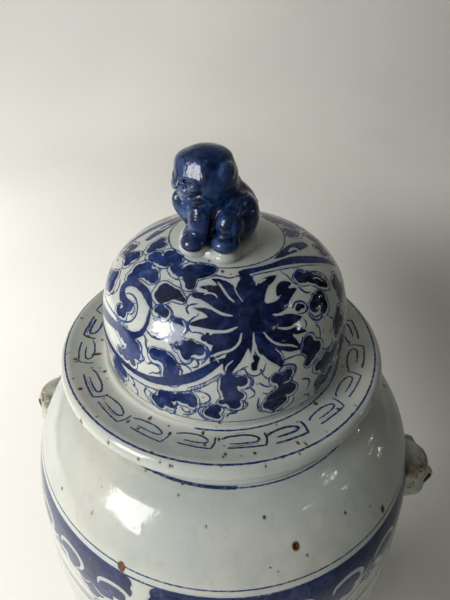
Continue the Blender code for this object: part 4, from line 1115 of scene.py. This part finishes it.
def lion(cell):
    """A seated guardian lion, facing +X with +Y on its left, modelled in millimetres above the pad."""
    clay = Clay((-31, -31, -7.5), (41, 31, 56), cell)

    def faced(x, y, z):
        """A place on the head, which is turned a little to the lion's right."""
        dx, dy = x - 13.0, y
        return (13.0 + dx * math.cos(HEAD_TURN) - dy * math.sin(HEAD_TURN),
                -3.4 + dx * math.sin(HEAD_TURN) + dy * math.cos(HEAD_TURN), z)

    for centre, radii, tilt in (
        ((12, -3.0, 15), (11.0, 12.0, 17), 0.20), ((1.0, -1.0, 15.5), (14.5, 14.0, 16.0), -0.35),
        ((-5.5, -1.5, 12.5), (14.5, 15.0, 14.0), 0.0), ((9, -3.2, 30.6), (12.0, 13.4, 14.4), -0.25),
        ((14, -3.4, 36.6), (16.0, 16.6, 14.2), 0.12),
    ):
        clay.add(clay.ellipsoid(centre, radii, tilt), 4.6)
    clay.add(clay.ellipsoid(faced(13.0, 0, 44.6), (12.2, 12.2, 4.4), 0.10, HEAD_TURN), 4.0)     # flat crown
    for place, radii, tilt, blend in (
        ((23.2, -0.8, 31.6), (6.5, 9.6, 6.6), 0.25, 3.2),  # muzzle
        ((21.6, -2.0, 42.6), (6.0, 12.0, 4.4), 0.30, 3.0), # brow
        ((20.6, 0.5, 26.8), (7.4, 9.2, 4.6), 0.20, 3.0),     # chin and beard
    ):
        clay.add(clay.ellipsoid(faced(*place), radii, tilt, HEAD_TURN), blend)
    flat = (0.901, 0.231, 0.367)   # the smooth pane of forehead that catches the window
    pane = sum(n * (axis - c) for n, axis, c in zip(flat, (clay.x, clay.y, clay.z), (14.0, -3.4, 36.6))) - 14.7
    clay.press(-pane, 1.0)
    for side, fore_x, fore_y in ((1, 22.8, 0.2), (-1, 15.5, -5.5)):
        clay.add(clay.ellipsoid((fore_x - 1.0, fore_y, 11), (6.8, 6.8, 15)), 3.0)              # foreleg
        clay.add(clay.ellipsoid((fore_x + 4.2, fore_y, 3.8), (7.8, 7.0, 5.2)), 2.6)            # forepaw
        hind_x, hind_y = (14.4, 13.6) if side > 0 else (4.0, -13.5)
        clay.add(clay.ellipsoid((hind_x - 11.5, hind_y - side * 1.4, 13), (12.5, 8.4, 13.4)), 3.4)  # haunch
        clay.add(clay.ellipsoid((hind_x, hind_y, 13.6), (7.6, 7.2, 8.4)), 2.2)                 # knee
        clay.add(clay.ellipsoid((hind_x + 3.0, hind_y + side * 0.4, 4.4), (8.4, 7.6, 5.6)), 1.8)    # hind paw
        clay.add(clay.ellipsoid(faced(9.0, side * 14.4, 41.6), (4.8, 3.0, 4.4), 0.3), 2.6)     # ear
        clay.add(clay.ellipsoid(faced(26.2, side * 4.9, 31.2), (4.0, 4.7, 3.5)), 2.2)          # lip
        clay.add(clay.ellipsoid(faced(24.0, side * 9.4, 35.0), (4.0, 3.6, 3.2)), 1.8)          # cheek
        clay.press(clay.cord([(hind_x - 4.0, hind_y + side * 8.0, 7.0), (hind_x + 1.0, hind_y + side * 7.6, 8.8),
                              (hind_x + 6.6, hind_y + side * 5.6, 9.0), (hind_x + 9.6, hind_y, 9.6)], 0.8), 1.3)
    clay.add(clay.ellipsoid((20.6, -15.6, 19.4), (4.8, 4.2, 7.4), 0.3), 1.8)                   # elbow knob
    clay.add(clay.ellipsoid((18.6, -10.8, 16.0), (5.6, 5.8, 8.4)), 3.4)
    clay.add(clay.ellipsoid(faced(28.9, 0, 33.3), (2.5, 4.1, 2.4)), 1.5)                       # nose
    for side in (-1, 1):
        clay.press(clay.ellipsoid(faced(31.0, side * 2.1, 32.4), (1.3, 1.0, 0.7)), 0.8)
        clay.press(clay.ellipsoid(faced(27.0, side * 7.0, 36.6), (1.4, 3.0, 1.2)), 2.0)
        clay.add(clay.ellipsoid(faced(24.6, side * 7.0, 36.8), (2.2, 2.7, 1.8)), 1.6)
        for wrinkle in range(4):
            z = 36.4 - 1.8 * wrinkle
            clay.press(
                clay.cord([faced(29.8, side * 2.4, z), faced(28.6, side * 6.0, z + 0.9),
                           faced(25.8, side * 9.6, z - 0.6)], 0.4), 0.9,
            )
        clay.press(
            clay.cord([faced(30.2, 0, 28.8), faced(29.4, side * 4.6, 28.0), faced(26.2, side * 8.8, 29.0),
                       faced(22.4, side * 11.4, 31.0)], 0.6), 1.2,
        )
        clay.press(clay.cord([faced(14.0, side * 15.4, 26.4), faced(20.5, side * 12.0, 24.6),
                              faced(24.4, side * 6.0, 22.8), faced(25.4, 0, 22.4)], 0.5), 1.6)
        for curl, (x, y, z) in enumerate(
            ((6, 16.4, 37), (-1.0, 15.4, 33), (-5.0, 12.2, 38), (3.5, 15.0, 43.0), (8, 16.0, 29.4), (1.0, 15.8, 25.4))
        ):
            out = (x - 6.0, side * y, z - 32.0)
            clay.press(clay.cord(spiral((x, side * y - 3.0, z), 3.2, 1.3, 0.9 * curl, out), 0.3), 1.3)
    clay.press(clay.cord([(18.0, 7.4, 21.0), (20.6, 7.0, 12.0), (22.4, 7.0, 0.0)], 1.2), 2.2)
    clay.press(clay.cord([(25.6, -5.4, 14.0), (27.4, -5.6, 7.0), (28.4, -5.6, 0.0)], 0.6), 1.6)
    for knob in range(5):
        clay.add(clay.ellipsoid((-5.5 - 2.9 * knob, -2, 33.0 - 5.4 * knob), (2.6, 2.6, 2.6)), 2.6)
    clay.add(clay.cord([(-15, -1, 7), (-17.6, 0.0, 12), (-15.6, 1.6, 17), (-12.0, 1.0, 20)], 2.5), 1.8)
    for lock in (-1, 1):
        clay.add(clay.cord([(-16, lock * 3.0, 8), (-17.2, lock * 6.4, 11), (-14.8, lock * 8.0, 15)], 1.7), 1.2)
    clay.add(clay.ellipsoid((21.0, -4.0, -2.4), (10.6, 9.4, 6.4)), 1.4)                       # white slip
    clay.add(clay.ellipsoid((15.6, 12.6, -3.4), (9.0, 8.4, 4.8)), 1.2)
    clay.add(clay.ellipsoid((0, -1, -2.6), (20.0, 20.0, 4.0)), 1.4)
    clay.cut_below(-6.4)
    piece, where = sculpted("lion", clay)
    front_left = np.exp(-(((where[:, 0] - 22) / 8.0) ** 2) - (((where[:, 1] + 13) / 6.0) ** 2))
    pale = 1.0 - np.clip((where[:, 2] + 0.5 - 4.4 * front_left) / 2.0, 0.0, 1.0)
    store(piece, "pale", pale)
    piece.data.transform(
        Matrix.Translation(LION_PLACE) @ Matrix.Rotation(LION_HEADING, 4, "Z") @ Matrix.Scale(LION_SIZE, 4)
    )
    return piece


def mask_lug(name, cell):
    """A pressed animal-mask lug, +X away from the jar, +Y to the mask's left, in millimetres."""
    clay = Clay((-6, -25, -27), (24, 25, 27), cell)
    clay.add(clay.ellipsoid((0.5, 0, -1.0), (14.6, 18.8, 22.0)), 1.0)
    for centre, radii, blend in (
        ((7, 0, 9.5), (7.0, 12.5, 6.4), 3.6), ((10.6, 0, -2), (8.6, 8.4, 7.4), 3.2),
        ((7.4, 0, -12.4), (6.6, 9.8, 5.8), 3.4), ((15.8, 0, 0.2), (3.6, 4.8, 3.4), 2.2),
    ):
        clay.add(clay.ellipsoid(centre, radii), blend)
    for side in (-1, 1):
        clay.add(clay.ellipsoid((2.4, side * 13.8, 11.0), (4.8, 4.6, 6.2), 0.0, side * 0.4), 3.0)   # ear
        clay.press(clay.ellipsoid((7.8, side * 14.4, 11.6), (2.6, 2.2, 3.6)), 1.4)
        clay.add(clay.ellipsoid((8.4, side * 9.8, -5.6), (5.8, 5.8, 6.2)), 3.0)                   # cheek
        clay.press(clay.ellipsoid((12.2, side * 7.8, 5.0), (3.8, 3.8, 2.5)), 1.5)
        clay.add(clay.ellipsoid((10.2, side * 7.6, 5.0), (2.9, 2.8, 2.2)), 0.7)                    # eye
        clay.press(clay.ellipsoid((13.4, side * 7.6, 4.6), (1.4, 0.8, 0.8)), 0.5)
        clay.press(clay.ellipsoid((19.4, side * 2.1, -0.4), (1.6, 1.1, 1.0)), 0.6)                 # nostril
        clay.press(clay.cord([(17.0, side * 1.0, -6.6), (15.0, side * 6.2, -9.0), (10.6, side * 11.8, -9.6),
                              (6.0, side * 15.4, -7.0)], 0.95), 1.0)
        clay.press(clay.cord([(16.8, side * 4.2, 2.6), (14.6, side * 8.4, 0.0), (13.8, side * 11.0, -4.0)], 0.7), 1.0)
        for strand in range(4):
            y = side * (1.6 + 2.9 * strand)
            clay.press(clay.cord([(14.6 - 1.3 * strand, y, -12.0), (9.6 - strand, y * 1.12, -20.6)], 0.6), 0.9)
        brow_curl = spiral((9.0, side * 10.4, 12.0), 3.0, 1.2, 0.5 * side, (1.0, side * 0.5, 0.3))
        clay.press(clay.cord(brow_curl, 0.5), 0.9)
        clay.press(clay.cord(spiral((4.4, side * 17.4, 2.6), 3.2, 1.2, 2.0, (0.7, side * 1.0, 0.0)), 0.55), 0.9)
        clay.press(clay.cord(spiral((4.0, side * 16.0, -12.0), 3.2, 1.2, 3.0, (0.7, side * 1.0, -0.3)), 0.55), 0.9)
    for wrinkle in range(3):
        z = 8.4 + 2.6 * wrinkle
        fold = [(13.4 - wrinkle, -5.6, z + 1.2), (14.4 - wrinkle, 0, z), (13.4 - wrinkle, 5.6, z + 1.2)]
        clay.press(clay.cord(fold, 0.6), 0.9)
    piece, where = sculpted(name, clay, 4)
    brow = np.exp(-(((where[:, 2] - 14) / 8.0) ** 2)) * 0.98
    root = np.exp(-((np.maximum(where[:, 0] - 2.0, 0.0) / 5.0) ** 2)) * 0.55
    below_eye = np.exp(-(((where[:, 2] + 2.0) / 3.0) ** 2) - (((where[:, 0] - 6.0) / 5.0) ** 2)) * 0.7
    store(piece, "brown", np.maximum(np.maximum(brow, root), below_eye))
    ink = np.zeros(len(where))
    for side in (-1, 1):
        pupil = np.linalg.norm(where - (12.6, side * 7.6, 4.8), axis=1)
        ink = np.maximum(ink, np.clip(1.6 - pupil / 1.7, 0.0, 1.0))
        nostril = np.linalg.norm(where - (18.6, side * 2.4, -0.4), axis=1)
        ink = np.maximum(ink, np.clip(1.5 - nostril / 1.7, 0.0, 1.0))
        for a, b in (((17.6, 4.4, 2.0), (14.6, 8.6, -1.0)), ((16.6, 1.0, -6.8), (14.6, 6.6, -9.2))):
            a, b = np.array(a), np.array(b)
            a[1], b[1] = a[1] * side, b[1] * side
            k = np.clip((where - a) @ (b - a) / ((b - a) @ (b - a)), 0.0, 1.0)
            away = np.linalg.norm(where - a - k[:, None] * (b - a), axis=1)
            ink = np.maximum(ink, np.clip(1.5 - away / 1.3, 0.0, 0.9))
    store(piece, "ink", ink)
    return piece


def oval_pad(name, columns=260):
    """The low oval disc of slip that beds the lion: a rounded edge and a slightly dished top."""
    run = smooth_path([(0.012, 0.0036), (0.45, 0.0038), (0.84, 0.0040), (0.955, 0.0034), (1.0, 0.0018),
                       (1.03, -0.0006)], 0.025)
    turns = np.radians(np.arange(columns) * 360.0 / columns)[None, :]
    share, up = run[:, :1], run[:, 1:]
    edge = 1.0 + 0.020 * np.sin(3 * turns + 0.8) + 0.012 * np.sin(5 * turns + 2.0)
    x = -0.0036 + 0.0252 * share * edge * np.sin(turns)
    y = -0.0064 - 0.0236 * share * edge * np.cos(turns)
    dome_x = np.array([p[0] for p in DOME_OUTER])
    dome_z = np.array([p[1] for p in DOME_OUTER])
    z = np.interp(np.hypot(x, y), dome_x, dome_z) * np.clip(share, 0.0, 1.0) ** 4
    z = z + (1.0 - np.clip(share, 0.0, 1.0) ** 4) * 0.5430 + up
    vertices = np.stack([x, y, z], axis=-1).reshape(-1, 3)
    i, j = np.meshgrid(np.arange(len(run) - 1), np.arange(columns), indexing="ij")
    faces = np.stack([i * columns + j, (i + 1) * columns + j, (i + 1) * columns + (j + 1) % columns,
                      i * columns + (j + 1) % columns], axis=-1).reshape(-1, 4).tolist()
    faces.append(list(range(columns)))
    piece = new_object(name, vertices.tolist(), faces)
    nothing = np.full(len(vertices), FAR)
    for layer in ("line", "spare"):
        store(piece, layer, np.stack([nothing, nothing, 0.0 * nothing], axis=-1), "FLOAT_VECTOR")
        store(piece, layer + "_near", nothing)
    for name_of_field in ("wash", "spot"):
        store(piece, name_of_field, nothing)
    for name_of_field in ("tone", "line_depth"):
        store(piece, name_of_field, 0.0 * nothing)
    return piece


# ================================================================ the jar, piece by piece
FINE = 1.0
JAR_SHIFT, BRIM_SHIFT = 0.0015, -0.0017
JAR_SEED, LID_SEED = 0.6, 2.4
dome_glaze = painted_glaze("dome_glaze_paint", 0.72)
body_glaze = painted_glaze("body_glaze_paint", 1.05)
clay_bare = bare_clay("bare_clay_grit")
lion_cobalt = cobalt_figure("lion_cobalt_glaze")
lug_glaze = celadon_mask("lug_celadon_glaze")


def columns(count):
    return int(count / FINE) // 4 * 4


def dress(piece, material, body, node):
    piece.data.materials.append(material)
    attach(piece, body)
    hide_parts(node)


dress(
    turned("dome", smooth_path(DOME_OUTER, 0.0009 * FINE), [(DOME_INNER, 0.004)], columns(640), paint_dome,
           0.00030, LID_SEED, closed=True),
    dome_glaze, "lid", "lid_dome",
)
dress(
    turned("brim", smooth_path(BRIM_TOP, 0.0009 * FINE), [(BRIM_UNDER, 0.003)], columns(760), paint_brim,
           0.00040, LID_SEED + 1.0, BRIM_SHIFT, closed=True),
    dome_glaze, "lid", "lid_brim",
)
dress(
    turned("collar", smooth_path(COLLAR, 0.0016), [], columns(240), None, 0.00020, LID_SEED, closed=True),
    clay_bare, "lid", "lid_locating_collar",
)
dress(oval_pad("pad"), dome_glaze, "lid", "finial_pad")
dress(lion(0.5 * FINE ** 0.6), lion_cobalt, "lid", "lion_finial")
dress(
    turned("neck", smooth_path(NECK_OUTER, 0.0014), [(NECK_INNER, 0.002)], columns(480), None, 0.00035, JAR_SEED,
           JAR_SHIFT, closed=True),
    body_glaze, "jar", "jar_neck",
)
dress(
    turned("shoulder", smooth_path(SHOULDER_OUTER, 0.0014 * FINE), [(SHOULDER_INNER, 0.005)], columns(720),
           paint_shoulder, 0.00045, JAR_SEED, JAR_SHIFT, closed=True),
    body_glaze, "jar", "jar_upper_body",
)
dress(
    turned("belly", smooth_path(BELLY_OUTER, 0.0017 * FINE), [(BELLY_INNER, 0.006)], columns(660), paint_belly,
           0.00045, JAR_SEED, JAR_SHIFT, closed=True),
    body_glaze, "jar", "jar_lower_body",
)
dress(
    turned("foot", smooth_path(FOOT, 0.0012), [], columns(320), None, 0.00030, JAR_SEED, JAR_SHIFT, closed=True),
    clay_bare, "jar", "foot_ring",
)
for where, heading in LUG_HEADINGS.items():
    lug = mask_lug(f"{where}_mask", 0.6 * FINE ** 0.6)
    lug.data.transform(
        Matrix.Rotation(math.radians(heading), 4, "Z") @ Matrix.Translation(LUG_PLACE) @ Matrix.Diagonal(LUG_STRETCH)
    )
    dress(lug, lug_glaze, "jar", f"{where}_mask_lug")


# ================================================================ studio
def aim(thing, place, target):
    thing.location = place
    thing.rotation_euler = (Vector(target) - Vector(place)).to_track_quat("-Z", "Y").to_euler()


JAR_MIDDLE = (0.0, 0.0, 0.45)
GLINT_DISTANCE = 1.25


def around(turn, rise, distance):
    """A place seen from the jar at turn degrees from the viewer (positive right) and rise degrees up."""
    t, e = math.radians(turn), math.radians(rise)
    return (JAR_MIDDLE[0] + distance * math.sin(t) * math.cos(e),
            JAR_MIDDLE[1] - distance * math.cos(t) * math.cos(e), JAR_MIDDLE[2] + distance * math.sin(e))


def lamp(name, place, size, tall, radiance, colour=(1.0, 1.0, 1.0), target=JAR_MIDDLE):
    data = bpy.data.lights.new(name, "AREA")
    data.shape, data.size, data.size_y = "RECTANGLE", size, tall
    data.energy = radiance * math.pi * size * tall
    data.color = colour
    light = bpy.data.objects.new(name, data)
    bpy.context.scene.collection.objects.link(light)
    aim(light, place, target)
    return light


def sweep_backdrop():
    """One pale sheet: flat under the jar, then curving up behind it, with painted shade on its right side."""
    run = smooth_path([(-3.2, 0.0), (0.0, 0.0), (1.1, 0.0), (1.75, 0.10), (2.25, 0.55), (2.45, 1.3), (2.5, 3.6)],
                      0.05)
    across = np.linspace(-4.0, 4.0, 60)
    y, z = run[:, :1], run[:, 1:]
    vertices = np.stack([0 * y + across[None, :], y + 0 * across[None, :], z + 0 * across[None, :]], axis=-1)
    i, j = np.meshgrid(np.arange(len(run) - 1), np.arange(len(across) - 1), indexing="ij")
    n = len(across)
    faces = np.stack([i * n + j, i * n + j + 1, (i + 1) * n + j + 1, (i + 1) * n + j], axis=-1).reshape(-1, 4)
    sheet = new_object("backdrop", vertices.reshape(-1, 3).tolist(), faces.tolist())
    g = Graph("backdrop_paper")
    tint = g.mix(g.ramp(g.noise(1.2, 2.0, 0.5), 0.3, 0.7), linear(232, 230, 224), linear(224, 223, 218))
    fibre = g.noise(700.0, 3.0, 0.6)
    colour = g.mix(g.ramp(fibre, 0.4, 0.7, 0.0, 0.10), tint, linear(206, 204, 198))
    # painted shade: the paper darkens to the right of the jar and fades out towards the back, for the fall of light
    # and the jar's shadow
    split = g.tree.nodes.new("ShaderNodeSeparateXYZ")
    g.tree.links.new(g.coordinates, split.inputs[0])
    near = g.ramp(split.outputs[1], 1.5, 0.6)
    painted_shade = g.math("MULTIPLY", g.ramp(split.outputs[0], 0.05, 0.55, 0.0, 0.72), near)
    colour = g.mix(painted_shade, colour, linear(96, 96, 90))
    sheet.data.materials.append(g.surface(colour, 0.9, g.bump(fibre, 0.0002), Specular_IOR_Level=0.1))
    return sheet


paper = sweep_backdrop()
WINDOW, DAYLIGHT = (-0.93, -0.77, 0.91), (1.0, 0.99, 0.97)
lamp("window", WINDOW, 0.50, 0.62, 8.8, DAYLIGHT)
paper_light = lamp("paper_light", (-1.6, 0.35, 1.05), 1.2, 1.2, 6.6, DAYLIGHT, target=(0.1, 0.9, 0.0))
paper_only = bpy.data.collections.new("paper_only")
paper_only.objects.link(paper)
paper_light.light_linking.receiver_collection = paper_only
GLINTS = (  # turn, rise, size, radiance
    (81, 47, 0.024, 54), (111, 37, 0.024, 44), (101, 23, 0.024, 46), (47, 31, 0.020, 48), (68, 20, 0.026, 48),
    (92, 15, 0.022, 36), (93, 0, 0.024, 24), (49, 9, 0.020, 34),
)
for index, (turn, rise, size, bright) in enumerate(GLINTS):
    lamp(f"glint_{index}", around(turn, rise, GLINT_DISTANCE), size, size * 1.3, bright)

world = bpy.data.worlds.new("room")
bpy.context.scene.world = world
world.use_nodes = True
nodes, links = world.node_tree.nodes, world.node_tree.links
nodes.clear()
direction = nodes.new("ShaderNodeTexCoord").outputs["Generated"]
parts = nodes.new("ShaderNodeSeparateXYZ")
links.new(direction, parts.inputs[0])
across = nodes.new("ShaderNodeValToRGB")
stops = across.color_ramp.elements
stops[0].position, stops[0].color = 0.08, (0.62, 0.62, 0.60, 1.0)
stops[1].position, stops[1].color = 0.92, (0.025, 0.025, 0.022, 1.0)
for position, level in ((0.30, 0.34), (0.50, 0.13), (0.70, 0.035)):
    stop = stops.new(position)
    stop.color = (level, level, level * 0.98, 1.0)
shifted = nodes.new("ShaderNodeMapRange")
links.new(parts.outputs[0], shifted.inputs[0])
shifted.inputs[1].default_value, shifted.inputs[2].default_value = -1.0, 1.0
links.new(shifted.outputs[0], across.inputs[0])
background = nodes.new("ShaderNodeBackground")
links.new(across.outputs[0], background.inputs[0])
background.inputs[1].default_value = 1.0
sky = nodes.new("ShaderNodeOutputWorld")
links.new(background.outputs[0], sky.inputs[0])

PITCH, ROLL, LENS = 0.6425125, 0.0210554, 27.6  # radians down, radians tilted, millimetres
VIEWPOINT = (0.0, -0.26168, 0.68357)
camera_data = bpy.data.cameras.new("portrait")
camera_data.sensor_width, camera_data.lens = 36.0, LENS
camera_data.clip_start = 0.02
camera = bpy.data.objects.new("portrait", camera_data)
bpy.context.scene.collection.objects.link(camera)
camera.matrix_world = (
    Matrix.Translation(VIEWPOINT) @ Matrix.Rotation(math.pi / 2 - PITCH, 4, "X")
    @ Matrix.Rotation(ROLL, 4, "Z")
)
bpy.context.scene.camera = camera
bpy.context.scene.view_settings.view_transform = "Standard"
bpy.context.scene.view_settings.look = "Medium High Contrast"
